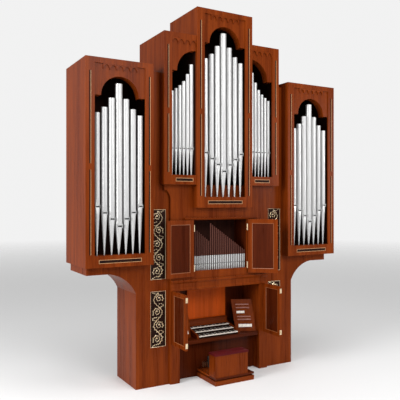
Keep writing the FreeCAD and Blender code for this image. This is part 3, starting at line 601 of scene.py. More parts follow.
def build_pipe_tree():
    """Stands a ringed pipe pattern on every seed corner and stretches it to that pipe's sizes."""
    tree, into, out = geometry_tree("Pipe Rank", [
        ("Pattern", THING, None), ("Tip", NUMBER, 0.2), ("Bright Reach", NUMBER, 1000.0),
        ("Body Finish", FINISH, None)])
    pipes = scattered(tree, into["Geometry"], pattern_of(tree, into["Pattern"]))
    radius, foot, mouth = named(tree, "radius"), named(tree, "foot"), named(tree, "mouth")
    terms = [times(tree, named(tree, share), size) for share, size in (
        ("by_foot", foot), ("by_mouth", mouth), ("by_top", named(tree, "top")),
        ("by_radius", radius))]
    height = terms[0]
    for term in terms[1:]:
        height = plus(tree, height, term)
    wide = times(tree, radius, spread(tree, height, foot, mouth, into["Tip"], 1.0))
    unit = add_node(tree, "ShaderNodeSeparateXYZ", [(named(tree, "unit", "FLOAT_VECTOR"), 0)])
    local = add_node(tree, "ShaderNodeCombineXYZ", [
        (times(tree, unit.outputs[0], wide), "X"), (times(tree, unit.outputs[1], wide), "Y"),
        (height, "Z")])
    spot = add_node(tree, "ShaderNodeVectorMath",
                    [(named(tree, "spot", "FLOAT_VECTOR"), 0), (local, 1)], operation="ADD")
    shaped = add_node(tree, "GeometryNodeSetPosition",
                      [(realized(tree, pipes), "Geometry"), (spot, "Position")])
    # Above this reach over the mouth the body takes the finish that paints shade.
    reach = times(tree, radius, into["Bright Reach"])
    upper = maths(tree, "GREATER_THAN", height, plus(tree, mouth, reach))
    metal = dressed(tree, shaped, into["Finish"])
    body = dressed(tree, metal, into["Body Finish"], (upper, "Selection"))
    bore = dressed(tree, body, into["Second Finish"],
                   (named(tree, "second", "INT"), "Selection"))
    tree.links.new(bore.outputs[0], out[0])


def build_foliage_tree():
    """Thickens seed lines into stems and sets leaves on both sides of them."""
    tree, into, out = geometry_tree("Scroll Foliage", [
        ("Leaf", THING, None), ("Bud", THING, None), ("Leaf Step", NUMBER, 0.03),
        ("Leaf Angle", NUMBER, 0.9)])
    curve = add_node(tree, "GeometryNodeMeshToCurve", [(into["Geometry"], "Mesh")])
    ring = add_node(tree, "GeometryNodeCurvePrimitiveCircle",
                    [(6, "Resolution"), (1.0, "Radius")])
    sized = add_node(tree, "GeometryNodeSetCurveRadius",
                     [(curve, "Curve"), (named(tree, "stem"), "Radius")])
    stems = add_node(tree, "GeometryNodeCurveToMesh", [
        (sized, "Curve"), (ring, "Profile Curve"), (True, "Fill Caps"),
        (named(tree, "stem"), "Scale")])
    spots = add_node(tree, "GeometryNodeCurveToPoints",
                     [(sized, "Curve"), (into["Leaf Step"], "Length")], mode="LENGTH")
    index = tree.nodes.new("GeometryNodeInputIndex").outputs[0]
    odd = maths(tree, "MODULO", index, 2.0)
    side = maths(tree, "SUBTRACT", times(tree, odd, 2.0), 1.0)
    heading = add_node(tree, "ShaderNodeSeparateXYZ", [(spots.outputs["Tangent"], 0)])
    lean = maths(tree, "ARCTAN2", heading.outputs[0], heading.outputs[2])
    turn = plus(tree, lean, times(tree, side, into["Leaf Angle"]))
    euler = add_node(tree, "ShaderNodeCombineXYZ", [(turn, "Y")])
    leaves = scattered(tree, spots.outputs["Points"], pattern_of(tree, into["Leaf"]),
                       (euler, "Rotation"), (named(tree, "leaf"), "Scale"))
    buds = scattered(tree, into["Geometry"], pattern_of(tree, into["Bud"]),
                     (named(tree, "bud"), "Selection"), (named(tree, "bud"), "Scale"))
    close_tree(tree, joined(tree, (stems, leaves, buds)), into, out)


def seed_mesh(corners, edges=(), **values):
    """Seed corners for a tree, with a named number or direction on each."""
    mesh = bpy.data.meshes.new("seed")
    mesh.from_pydata([tuple(corner) for corner in corners], list(edges), [])
    for label, numbers in values.items():
        if hasattr(numbers[0], "__len__"):
            layer = mesh.attributes.new(label, "FLOAT_VECTOR", "POINT")
            layer.data.foreach_set("vector", [c for number in numbers for c in number])
        else:
            layer = mesh.attributes.new(label, "FLOAT", "POINT")
            layer.data.foreach_set("value", numbers)
    return mesh


def grow(name, seed, tree_name, patterns, finish, second=None, **values):
    """The plain mesh that a tree grows on its seed corners."""
    tree = bpy.data.node_groups[tree_name]
    holder = link_object(name + "_seed", seed)
    helpers = {label: link_object(name + "_pattern", mesh) for label, mesh in patterns.items()}
    chosen = {"Finish": MATERIALS[finish], "Second Finish": MATERIALS[second or finish],
              **helpers, **{label.replace("_", " "): value for label, value in values.items()}}
    modifier = holder.modifiers.new("grow", "NODES")
    modifier.node_group = tree
    for item in tree.interface.items_tree:
        if item.in_out == "INPUT" and item.name in chosen:
            modifier[item.identifier] = chosen[item.name]
    graph = bpy.context.evaluated_depsgraph_get()
    mesh = bpy.data.meshes.new_from_object(holder.evaluated_get(graph))
    holder.modifiers.remove(modifier)
    for helper in (holder, *helpers.values()):
        bpy.data.objects.remove(helper)
    if not mesh.polygons:
        raise RuntimeError("nothing grew for " + name)
    return mesh


# ---------------------------------------------------------------- pipes

PIPE_SIDES = 32
LIP_STEPS = 4                # sides of the pipe between the middle and the edge of its mouth
LOWER_LIP = 2.6              # heights round the mouth, in radii
UPPER_LIP = 3.2
CUT_UP = 0.42
SMALL_CUT_UP = 1.3           # the small pipes have tall mouths for their size
PAINTED_SHADE_LINE = 14.0              # top of the small pipes' lit band, in radii over the mouth; above it their bodies get painted shade
WALL = 0.07
BORE_DEPTH = 1.6
MOUTH_DEPTH = 0.45
MOUTH_TAPER = 0.8
EAR = {"x0": 0.72, "x1": 0.80, "front": 1.04, "back": 0.62, "low": -0.30, "high": 0.85}
PATTERN_SIZES = (0.0, 9.0, 40.0)
BODY_SPAN = 0.97             # corners of a solid pipe farther out than this are on its body
AXIS_SPAN = 0.02             # and nearer in than this on its axis, in radii
WHOLE_PIPE = 1000.0          # a lit part longer than any pipe, in radii, so no painted shade
PIPE_NODES = {               # height of the lit part, cut-up, its finish, and the finish above it, which paints shade
    "outer_pipes": (WHOLE_PIPE, CUT_UP, "polished_tin", "polished_tin"),
    "centre_pipes": (WHOLE_PIPE, CUT_UP, "polished_tin", "polished_tin"),
    "inner_pipes": (WHOLE_PIPE, CUT_UP, "polished_tin", "polished_tin"),
    "small_pipes": (PAINTED_SHADE_LINE - 0.1, SMALL_CUT_UP, "lit_band_tin", "painted_shade_metal"),
}


def pipe_pattern(cut_up):
    """A pipe of radius 1. Each corner says how foot, mouth, top and radius set its height."""
    bm = bmesh.new()
    unit = bm.verts.layers.float_vector.new("unit")
    shares = [bm.verts.layers.float.new("by_" + label)
              for label in ("foot", "mouth", "top", "radius")]
    second = bm.faces.layers.int.new("second")
    turn = 2 * math.pi / PIPE_SIDES

    def corner(x, y, level, lift):
        vert = bm.verts.new((x, y, PATTERN_SIZES[level] + lift))
        vert[unit] = (x, y, 0.0)
        for index, layer in enumerate(shares[:3]):
            vert[layer] = 1.0 if index == level else 0.0
        vert[shares[3]] = lift
        return vert

    def ring(level, lift, flat=1.0, size=1.0):
        made = []
        for index in range(PIPE_SIDES):
            x, y = math.sin(index * turn), -math.cos(index * turn)
            made.append(corner(x * size, max(y, -flat) * size, level, lift))
        return made

    flats = [math.cos(index * turn) for index in range(LIP_STEPS + 1)]
    rise = [(1.0 - flat) / (1.0 - flats[-1]) for flat in flats]
    lower = [ring(1, -LOWER_LIP * (1.0 - share), flat) for flat, share in zip(flats, rise)]
    upper = [ring(1, cut_up + (UPPER_LIP - cut_up) * (1.0 - share), flat)
             for flat, share in reversed(list(zip(flats, rise)))]
    rings = [ring(0, 0.0), *lower, *upper, ring(1, PAINTED_SHADE_LINE), ring(2, 0.0)]
    across = [index % PIPE_SIDES for index in range(-LIP_STEPS, LIP_STEPS + 1)]
    for below, above in zip(rings, rings[1:]):
        add_band(bm, below, above, across[:-1] if below is lower[-1] else ())
    bm.faces.new(rings[0])

    inner = ring(2, 0.0, size=1.0 - WALL)
    floor = ring(2, -BORE_DEPTH, size=1.0 - WALL)
    add_band(bm, rings[-1], inner)
    add_band(bm, inner, floor)
    # The bore floor and the sheet behind the mouth carry the second finish, which paints the shade
    # inside the pipe.
    edge = [lower[-1][i] for i in across] + [upper[0][i] for i in reversed(across)]
    inside = [corner(v.co.x * MOUTH_TAPER, -MOUTH_DEPTH, 1, v[shares[3]]) for v in edge]
    for face in (bm.faces.new(floor), *add_band(bm, edge, inside), bm.faces.new(inside)):
        face[second] = 1

    for side in (-1.0, 1.0):
        box = [corner(side * EAR[x], -EAR[y], 1, EAR[z])
               for z in ("low", "high") for x, y in (
                   ("x0", "back"), ("x1", "back"), ("x1", "front"), ("x0", "front"))]
        bm.faces.new(box[:4])
        bm.faces.new(box[4:])
        add_band(bm, box[:4], box[4:])
    return mesh_of(bm)


def build_pipes():
    for node, (reach, cut_up, finish, body) in PIPE_NODES.items():
        spots, radii, feet, mouths, tops = [], [], [], [], []
        tip = 1.0
        for corners in loose_parts(node):
            low, high = extent(corners)
            axis = (low + high) / 2
            radius = (high.x - low.x) / 2
            spans = [(math.hypot(c.x - axis.x, c.y - axis.y), c.z) for c in corners]
            spots.append((axis.x, axis.y, 0.0))
            radii.append(radius)
            feet.append(low.z)
            tops.append(high.z)
            mouths.append(min(z for span, z in spans if span > BODY_SPAN * radius))
            tip = min(tip, min(span for span, z in spans if span > AXIS_SPAN * radius) / radius)
        seed = seed_mesh(spots, radius=radii, foot=feet, mouth=mouths, top=tops, spot=spots)
        mesh = grow(node, seed, "Pipe Rank", {"Pattern": pipe_pattern(cut_up)}, finish,
                    "pipe_bore_shade", Tip=tip, Bright_Reach=reach, Body_Finish=MATERIALS[body])
        place_piece(node + "_turned", mesh, replaces=(node,))


# ---------------------------------------------------------------- towers

INLAY_WIDTH = 0.030
INLAY_LINE = 0.006
INLAY_PROUD = 0.0018
INLAY_CORE = INLAY_PROUD * 0.4
INLAY_ENDS = (0.21, 0.224)   # free lengths at the foot and the head of a stile
INLAY_BREAK = 0.10
INLAY_SPLIT = 0.48           # height of the break as a share of the inlay
STILE_LEAST = 1.0            # shorter solids of the stiles and rails carry no inlay
RAIL_LEAST = 0.12
INSET_HEIGHT = 0.060
INSET_END = 0.07
SCALLOPS = 5
WIDE_TOWER = 0.7             # a narrower tower has one scallop less
SCALLOP_WIDTH = 0.118
SCALLOP_HEIGHT = 0.085
SCALLOP_DEPTH = 0.018
SCALLOP_STEPS = 10
SCALLOP_LEG = 0.012
SCALLOP_CROWN = 0.016
LINING = 0.004


def stile_inlays(lines, cores):
    """Dark inlay with a light line along one side down every stile, in two lengths; the dark strip
    also paints a groove's shade and the one-sided line its lit edge.
    """
    seam = INLAY_WIDTH / 2 - INLAY_LINE
    for low, high in boxes_of("tower_stiles"):
        if high.z - low.z < STILE_LEAST:
            continue
        place = front_face((low.x + high.x) / 2, low.y, 0.0)
        z0, z1 = low.z + INLAY_ENDS[0], high.z - INLAY_ENDS[1]
        split = z0 + (z1 - z0) * INLAY_SPLIT
        for start, end in ((z0, split - INLAY_BREAK / 2), (split + INLAY_BREAK / 2, z1)):
            add_block(cores, place, -INLAY_WIDTH / 2, seam, SUNK, INLAY_CORE, start, end)
            add_block(lines, place, seam, INLAY_WIDTH / 2, SUNK, INLAY_PROUD, start, end)


def rail_inlays(lines, cores):
    """A long dark plate with a light line round it in every bottom rail."""
    for low, high in boxes_of("tower_rails"):
        if high.z - low.z < RAIL_LEAST:
            continue
        half = (high.x - low.x) / 2 - INSET_END
        middle = (low.z + high.z) / 2
        z0, z1 = middle - INSET_HEIGHT / 2, middle + INSET_HEIGHT / 2
        place = front_face((low.x + high.x) / 2, low.y, 0.0)
        add_ring(lines, place, half, z0, z1, [
            (0.0, SUNK), (0.0, INLAY_PROUD), (INLAY_LINE, INLAY_PROUD), (INLAY_LINE, SUNK)])
        add_block(cores, place, -half + INLAY_LINE, half - INLAY_LINE, SUNK, INLAY_CORE,
                  z0 + INLAY_LINE, z1 - INLAY_LINE)


def scallop_pattern():
    """A short board with a round arch cut out of its lower edge."""
    half, arch = SCALLOP_WIDTH / 2, SCALLOP_WIDTH / 2 - SCALLOP_LEG
    spring = arch * 0.35
    rise = SCALLOP_HEIGHT - spring - SCALLOP_CROWN
    outline = [(half, 0.0), (half, SCALLOP_HEIGHT), (-half, SCALLOP_HEIGHT), (-half, 0.0),
               (-arch, 0.0)]
    for step in range(SCALLOP_STEPS + 1):
        turn = math.pi * (1.0 - step / SCALLOP_STEPS)
        outline.append((arch * math.cos(turn), spring + rise * math.sin(turn)))
    outline.append((arch, 0.0))
    bm = bmesh.new()
    add_prism(bm, front_face(0.0, 0.0, 0.0), outline, 0.0, SCALLOP_DEPTH)
    return mesh_of(bm)


def build_valances():
    """A row of small arches under the top rail of every tower."""
    seeds = {}
    for low, high in boxes_of("tower_headers"):
        count = SCALLOPS if high.x - low.x > WIDE_TOWER else SCALLOPS - 1
        x0 = (low.x + high.x) / 2 - SCALLOP_WIDTH * (count - 1) / 2
        seeds.setdefault(count, []).append((x0, low.y, high.z - SCALLOP_HEIGHT))
    for count, corners in seeds.items():
        mesh = grow("valance", seed_mesh(corners), "Even Row", {"Pattern": scallop_pattern()},
                    "mahogany_across", Count=count, Step=(SCALLOP_WIDTH, 0.0, 0.0))
        place_piece(f"tower_valances_{count}", mesh)


def build_tower_details():
    lines, cores = bmesh.new(), bmesh.new()
    stile_inlays(lines, cores)
    rail_inlays(lines, cores)
    place_piece("tower_inlay_lines", mesh_of(lines), "stringing_and_lit_edge")
    place_piece("tower_inlay_strips", mesh_of(cores), "ground_stain_and_groove_shade")
    build_valances()


def build_shade_linings():
    """Dark boards on the inner faces of the towers, behind the pipes, that paint the shade inside
    the towers.
    """
    bm = bmesh.new()
    sides = boxes_of("tower_sides")
    stile = max(high.y - low.y for low, high in boxes_of("tower_stiles"))
    for tower in boxes_of("tower_floors"):
        middle = (tower[0].x + tower[1].x) / 2
        near = sorted(sides, key=lambda box: abs((box[0].x + box[1].x) / 2 - middle))[:2]
        bottom = max(low.z for low, high in near) + stile
        top = min(high.z for low, high in near) - stile
        for low, high in near:
            x0 = high.x if low.x + high.x < 2 * middle else low.x - LINING
            add_block(bm, LEVEL, x0, x0 + LINING, low.y + stile, high.y - stile, bottom, top)
    place_piece("tower_linings", mesh_of(bm), "inside_painted_shade")


# ---------------------------------------------------------------- carved panels

GROUND = 0.003
GILT_FRAME = 0.008
FRAME_EASE = 0.002
FRAME_PROUD = 0.004          # the frame over the panel's face
SCROLL_TURNS = 1.35
BAY_HEIGHT = 2.0             # of one scroll, in half widths of the panel
WAVE_STEPS = 10              # of the vine in every bay
SCROLL_STEPS = 26
SPRIG_STEPS = 8
WAVE_REACH = 0.62            # of the vine, in half widths of the panel
WAVE_END = 0.02              # free length at each end of the vine
SCROLL_REACH = 0.60
SCROLL_CLOSE = 0.80          # share of its reach that a scroll loses towards its end
SCROLL_OFFSET = 0.16
SCROLL_LEVEL = 0.52          # height of a scroll's centre, as a share of its bay
SCROLL_START = 2.2
SPRIG_RUN = (0.15, 0.6)      # start and length of a sprig, in half widths
SPRIG_CLIMB = (0.36, 0.1)    # its start from the bay's middle and its rise, as shares of the bay
LEAF_WANE = 0.45             # share of its size that a leaf loses along a line
VINE_BUD, SCROLL_BUD, SPRIG_BUD = 0.012, 0.016, 0.008
STEM = 0.0044
LEAF_LENGTH = 0.030
LEAF_RIM = ((0.0, 0.0), (0.17, 0.22), (0.25, 0.48), (0.16, 0.76), (0.0, 1.0),
            (-0.16, 0.76), (-0.25, 0.48), (-0.17, 0.22))
LEAF_FANS = ((0, 1, 0), (1, 2, 0), (2, 3, 1), (3, 4, 2), (4, 5, 2), (5, 6, 1), (6, 7, 0),
             (7, 0, 0))


def leaf_pattern():
    """A pointed leaf of length 1 along Z with a raised rib; its face looks to -Y."""
    bm = bmesh.new()
    back, edge = ([bm.verts.new((x, y, z)) for x, z in LEAF_RIM] for y in (0.02, -0.05))
    rib = [bm.verts.new((0.0, -0.16, z)) for z in (0.15, 0.48, 0.8)]
    bm.faces.new(back)
    add_band(bm, back, edge)
    for first, last, middle in LEAF_FANS:
        bm.faces.new((edge[first], edge[last], rib[middle]))
    for first, last, corner in ((0, 1, 2), (1, 2, 3), (0, 1, 6), (1, 2, 5)):
        bm.faces.new((rib[first], rib[last], edge[corner]))
    return mesh_of(bm)


def bud_pattern():
    """A round bud of radius 1, flattened towards its back."""
    bm = bmesh.new()
    bmesh.ops.create_uvsphere(bm, u_segments=10, v_segments=6, radius=1.0,
                              matrix=Matrix.Diagonal((1.0, 0.55, 1.0, 1.0)))
    return mesh_of(bm)


def scroll_lines(x_middle, half, z0, z1, y):
    """Seed lines of a climbing vine with a spiral scroll in every bay."""
    bays = max(2, round((z1 - z0) / (half * BAY_HEIGHT)))
    bay = (z1 - z0) / bays
    corners, edges, stems, leaves, buds = [], [], [], [], []

    def add_line(points, thick, thin, leaf, bud):
        first = len(corners)
        last = len(points) - 1
        for index, (x, z) in enumerate(points):
            share = index / last
            corners.append((x_middle + x, y, z))
            stems.append(thick + (thin - thick) * share)
            leaves.append(leaf * (1.0 - LEAF_WANE * share))
            buds.append(bud if index == last else 0.0)
        edges.extend((first + index, first + index + 1) for index in range(last))

    wave = []
    for step in range(bays * WAVE_STEPS + 1):
        share = step / WAVE_STEPS
        wave.append((half * WAVE_REACH * math.sin(math.pi * share),
                     z0 + WAVE_END + bay * share * (1 - 2 * WAVE_END / (z1 - z0))))
    add_line(wave, STEM * 1.15, STEM * 0.9, LEAF_LENGTH, VINE_BUD)
    for number in range(bays):
        hand = 1.0 if number % 2 == 0 else -1.0
        x, z = -hand * half * SCROLL_OFFSET, z0 + bay * (number + SCROLL_LEVEL)
        spiral = []
        for step in range(SCROLL_STEPS + 1):
            share = step / SCROLL_STEPS
            turn = math.pi / 2 + hand * (SCROLL_START - 2 * math.pi * SCROLL_TURNS * share)
            reach = half * SCROLL_REACH * (1.0 - SCROLL_CLOSE * share)
            spiral.append((x + reach * math.cos(turn), z + reach * math.sin(turn)))
        add_line(spiral, STEM, STEM * 0.6, LEAF_LENGTH * 0.85, SCROLL_BUD)
        for side in (-1.0, 1.0):
            sprig = []
            for step in range(SPRIG_STEPS + 1):
                share = step / SPRIG_STEPS
                level = number + 0.5 + side * hand * (SPRIG_CLIMB[0] + SPRIG_CLIMB[1] * share ** 2)
                run = SPRIG_RUN[0] + SPRIG_RUN[1] * share
                sprig.append((side * half * run, z0 + bay * level))
            add_line(sprig, STEM * 0.7, STEM * 0.4, LEAF_LENGTH * 0.7, SPRIG_BUD)
    return corners, edges, stems, leaves, buds


def build_carvings():
    """Gilt frame, dark ground and scrolling foliage of the four carved panels."""
    frames, grounds = bmesh.new(), bmesh.new()
    inset = GILT_FRAME * 2.0
    for number, (low, high) in enumerate(boxes_of("carved_panels")):
        middle = (low.x + high.x) / 2
        half = (high.x - low.x) / 2
        place = front_face(middle, high.y, 0.0)
        add_block(grounds, place, -half, half, 0.0, GROUND, low.z, high.z)
        depth = high.y - low.y + FRAME_PROUD
        add_ring(frames, place, half, low.z, high.z, [
            (0.0, 0.0), (0.0, depth - FRAME_EASE), (GILT_FRAME * 0.5, depth),
            (GILT_FRAME, depth - FRAME_EASE), (GILT_FRAME, 0.0)])
        spots, edges, stems, leaves, buds = scroll_lines(
            middle, half - inset, low.z + inset, high.z - inset, high.y - GROUND - STEM * 0.5)
        seed = seed_mesh(spots, edges, stem=stems, leaf=leaves, bud=buds)
        mesh = grow(f"foliage_{number}", seed, "Scroll Foliage",
                    {"Leaf": leaf_pattern(), "Bud": bud_pattern()}, "gilding",
                    Leaf_Step=LEAF_LENGTH * 0.95)
        place_piece(f"carved_foliage_{number}", mesh)
    place_piece("carved_grounds", mesh_of(grounds), "ground_stain_and_groove_shade",
                replaces=("carved_panels",))
    place_piece("carved_frames", mesh_of(frames), "gilding")


# ---------------------------------------------------------------- doors

UPPER_STILE = 0.075
FOLD_STILE = 0.062
POCKET = 0.008
BEAD = 0.010
BEAD_PROFILE = ((0.0, -POCKET), (0.0, -0.0008), (BEAD * 0.45, 0.0004), (BEAD, -POCKET * 0.6),
                (BEAD, -POCKET))
PANEL_LIFT = 0.002
REED_PITCH = 0.0125
REED_HALF = 0.32             # half a rib's width and its height, in pitches and panel lifts
REED_RISE = 1.9


def add_door_panel(beads, panels, leaf, stile, reeds=None):
    """Bead and sunk panel on both faces of a door leaf."""
    half = leaf.half_length - stile
    height = leaf.half_height - stile
    for side in (-1.0, 1.0):
        place = leaf.face(side)
        add_ring(beads, place, half, -height, height, BEAD_PROFILE)
        add_block(panels, place, -half + BEAD, half - BEAD, -POCKET, -POCKET + PANEL_LIFT,
                  -height + BEAD, height - BEAD)
        if reeds:
            add_reeds(reeds, place, half - BEAD, height - BEAD)


def add_reeds(bm, place, half, height):
    """Fine upright ribs across a sunk panel."""
    count = int(2 * half / REED_PITCH)
    pitch = 2 * half / count
    for number in range(count):
        x = -half + pitch * (number + 0.5)
        outline = [(x - pitch * REED_HALF, -POCKET + PANEL_LIFT),
                   (x, -POCKET + PANEL_LIFT * REED_RISE),
                   (x + pitch * REED_HALF, -POCKET + PANEL_LIFT)]
        add_skin(bm, [[place @ Vector((run, depth, level)) for run, depth in outline]
                      for level in (-height, height)])


def build_doors():
    beads, panels, ribs = bmesh.new(), bmesh.new(), bmesh.new()
    for node in ("upper_door_left", "upper_door_right"):
        add_door_panel(beads, panels, Leaf(loose_parts(node)[0]), UPPER_STILE, ribs)
    for node in ("fold_leaves_inner", "fold_leaves_outer"):
        for corners in loose_parts(node):
            add_door_panel(beads, panels, Leaf(corners), FOLD_STILE)
    place_piece("door_beads", mesh_of(beads), "painted_highlight_bead")
    place_piece("door_panels", mesh_of(panels), "panel_and_shade_upright")
    place_piece("door_reeds", mesh_of(ribs), "panel_and_shade_upright")


# ---------------------------------------------------------------- console

NATURALS = 36
KEY_GAP = 0.0012
KEY_THICK = 0.010
KEY_EASE = 0.002
SHARP_SLOPE = 0.007          # length of the slope at the head of a sharp
SHARP_FOOT = -0.004
SHARP_WIDTH = 0.0135
SHARP_RISE = 0.011
KEY_HEAD = 0.032             # part of a natural in front of the sharps
KEY_FRAME_BACK = 0.004
KEY_FRAME_DROP = 0.002


def natural_pattern(pitch, length):
    """A natural key with its front edge at Y = 0 and its top at Z = 0."""
    bm = bmesh.new()
    half = (pitch - KEY_GAP) / 2
    rings = []
    for inset, z in ((0.0, -KEY_THICK), (0.0, -KEY_EASE), (KEY_EASE, 0.0)):
        edge = half - inset * 0.4
        rings.append([(-edge, inset, z), (edge, inset, z), (edge, length, z), (-edge, length, z)])
    add_skin(bm, rings)
    return mesh_of(bm)


def sharp_pattern(length):
    """A sharp that stands on the naturals behind their heads, marked for the second finish."""
    bm = bmesh.new()
    second = bm.faces.layers.int.new("second")
    outline = [(KEY_HEAD, SHARP_FOOT), (KEY_HEAD, SHARP_RISE * 0.45),
               (KEY_HEAD + SHARP_SLOPE, SHARP_RISE), (length, SHARP_RISE), (length, SHARP_FOOT)]
    add_skin(bm, [[(x if z < SHARP_RISE else x * 0.8, y, z) for y, z in outline]
                  for x in (-SHARP_WIDTH / 2, SHARP_WIDTH / 2)])
    for face in bm.faces:
        face[second] = 1
    return mesh_of(bm)


def build_manuals():
    """Keys on their frames, one piece for each manual."""
    frames = bmesh.new()
    for node in ("manual_lower", "manual_middle", "manual_upper"):
        low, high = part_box(node)
        pitch = (high.x - low.x) / NATURALS
        length = high.y - low.y
        patterns = {"Natural": natural_pattern(pitch, length), "Sharp": sharp_pattern(length)}
        mesh = grow(node, seed_mesh([(low.x, low.y, high.z)]), "Keyboard", patterns,
                    "ivory", "ebony", Naturals=NATURALS, Pitch=pitch)
        place_piece(node + "_keys", mesh, replaces=(node,))
        add_block(frames, LEVEL, low.x, high.x, low.y + KEY_FRAME_BACK, high.y,
                  low.z, high.z - KEY_THICK - KEY_FRAME_DROP)
    place_piece("manual_frames", mesh_of(frames), "ground_stain_and_groove_shade")


TAB_PLACES = 10
TAB_WIDTH = 0.021
TAB_STEP = 0.026
TAB_THICK = 0.008
TAB_ROWS = (                 # height up the jamb as a share, tabs, height, finish
    (0.17, 10, 0.056, "ivory"), (0.36, 10, 0.024, "tab_wood"),
    (0.45, 10, 0.024, "tab_wood"), (0.59, 6, 0.044, "ivory"),
    (0.73, 10, 0.024, "tab_wood"), (0.83, 10, 0.024, "tab_wood"))
LEDGE_TOP, LEDGE_FOOT = 0.003, 0.009     # under the tabs' lower edge
LEDGE_PROUD = 0.007
LEDGE_EASE = 0.002


def tab_pattern(height):
    """A rocker tab with a rounded lower lip; its face looks to -Y."""
    bm = bmesh.new()
    outline = [(0.0, -height / 2), (-TAB_THICK * 1.1, -height / 2),
               (-TAB_THICK * 1.3, -height / 4), (-TAB_THICK * 0.6, height / 2),
               (0.0, height / 2)]
    add_skin(bm, [[(x, y, z) for y, z in outline] for x in (-TAB_WIDTH / 2, TAB_WIDTH / 2)])
    return mesh_of(bm)


def leaning_face(corners):
    """Matrix and size of the front face of a leaning board, and its skew for each unit up."""
    low, high = extent(corners)

    def front_edge(level):
        row = [c for c in corners if abs(c.z - level) < 0.001]
        return [min((c for c in row if abs(c.x - x) < 0.001), key=lambda c: c.y)
                for x in (min(c.x for c in row), max(c.x for c in row))]

    left, right = front_edge(low.z)
    top_left, top_right = front_edge(high.z)
    along = (right - left).normalized()
    rise = (top_left + top_right - left - right) / 2
    skew = rise.dot(along) / rise.length
    up = (rise - along * rise.dot(along)).normalized()
    matrix = frame_matrix(along, along.cross(up), up, (left + right) / 2)
    return matrix, rise.length, skew


def build_stop_tabs():
    """Rows of rocker tabs on both jambs, each over a small ledge."""
    ledges = bmesh.new()
    for number, corners in enumerate(loose_parts("stop_jambs")):
        place, length, skew = leaning_face(corners)
        turn = (place @ Matrix.Diagonal((1.0, -1.0, 1.0, 1.0))).to_euler()
        step = place.to_3x3() @ Vector((TAB_STEP, 0.0, 0.0))
        hand = 1.0 if place.translation.x > 0 else -1.0
        edge = -TAB_STEP * (TAB_PLACES - 1) / 2
        for row, (share, count, height, finish) in enumerate(TAB_ROWS):
            z = share * length
            runs = [hand * (edge + TAB_STEP * index) + skew * z for index in (0, count - 1)]
            start = place @ Vector((min(runs), 0.0, z))
            mesh = grow("tabs", seed_mesh([start]), "Even Row", {"Pattern": tab_pattern(height)},
                        finish, Count=count, Step=tuple(step), Turn=tuple(turn))
            place_piece(f"stop_tabs_{number}_{row}", mesh)
            foot = z - height / 2
            add_block(ledges, place, min(runs) - TAB_WIDTH, max(runs) + TAB_WIDTH, SUNK,
                      LEDGE_PROUD, foot - LEDGE_FOOT, foot - LEDGE_TOP, LEDGE_EASE)
    place_piece("tab_ledges", mesh_of(ledges), "mahogany_across")


CAP_THICK = 0.012
CAP_OVER = (0.006, 0.008)    # how far the cap stands out at the ends and in front
CAP_EASE = 0.003


def build_music_panel():
    """Name board with an eased cap over the top manual, in front of the music panel."""
    (low, high), (panel_low, panel_high) = sorted(boxes_of("music_desk"),
                                                  key=lambda box: box[0].y)
    bm = bmesh.new()
    place = front_face(0.0, 0.0, 0.0)
    seam = high.z - CAP_THICK
    add_block(bm, place, low.x, high.x, -high.y, -low.y, low.z, seam, CAP_EASE)
    add_block(bm, place, low.x - CAP_OVER[0], high.x + CAP_OVER[0], -high.y,
              -low.y + CAP_OVER[1], seam, high.z, CAP_EASE)
    place_piece("name_board", mesh_of(bm), "mahogany_across")
    bm = bmesh.new()
    add_block(bm, place, panel_low.x, panel_high.x, -panel_high.y, -panel_low.y,
              panel_low.z, panel_high.z)
    place_piece("music_panel", mesh_of(bm), "lining_upright",
                replaces=("music_desk",))


# ---------------------------------------------------------------- pedals and bench

PEDAL_EASE = 0.003
SHOE_RIBS = 9
RIB_WIDE, RIB_PROUD, RIB_TALL = 0.088, 0.004, 0.008
RIB_EASE = 0.0015
SEAT_EASE = 0.006


def build_pedals():
    """Rounded pedal keys, and ribbed treads on the swell shoes."""
    keys = bmesh.new()
    for low, high in boxes_of("pedal_keys"):
        half = (high.x - low.x) / 2
        place = Matrix.Translation(((low.x + high.x) / 2, low.y, 0.0))
        edge, top = half - PEDAL_EASE, high.z - PEDAL_EASE
        outline = [(-half, low.z), (half, low.z), (half, top), (edge, high.z), (-edge, high.z),
                   (-half, top)]
        add_prism(keys, place, outline, 0.0, high.y - low.y)
    place_piece("pedal_keys_rounded", mesh_of(keys), "mahogany_deep",
                replaces=("pedal_keys",))
    ribs = bmesh.new()
    for corners in loose_parts("swell_shoes"):
        low, high = extent(corners)
        head_y = min(c.y for c in corners if c.z > high.z - 0.001)
        run, rise = head_y - low.y, high.z - low.z
        base = Matrix.Translation(((low.x + high.x) / 2, low.y, low.z))
        tilt = Matrix.Rotation(-math.atan2(run, rise), 4, "X")
        for number in range(SHOE_RIBS):
            z = math.hypot(run, rise) * (number + 0.7) / SHOE_RIBS
            add_block(ribs, base @ tilt @ front_face(0.0, 0.0, z), -RIB_WIDE / 2, RIB_WIDE / 2,
                      SUNK, RIB_PROUD, -RIB_TALL / 2, RIB_TALL / 2, RIB_EASE)
    place_piece("shoe_ribs", mesh_of(ribs), "rubber")


def build_bench():
    """Seat board with eased edges on the bench."""
    low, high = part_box("bench_seat")
    bm = bmesh.new()
    lying = frame_matrix(ALONG_X, UP, ALONG_Y, (0.0, 0.0, 0.0))
    add_block(bm, lying, low.x, high.x, low.z, high.z, low.y, high.y, SEAT_EASE)
    place_piece("bench_seat_board", mesh_of(bm), "seat_polish_and_shade",
                replaces=("bench_seat",))


# ---------------------------------------------------------------- studio

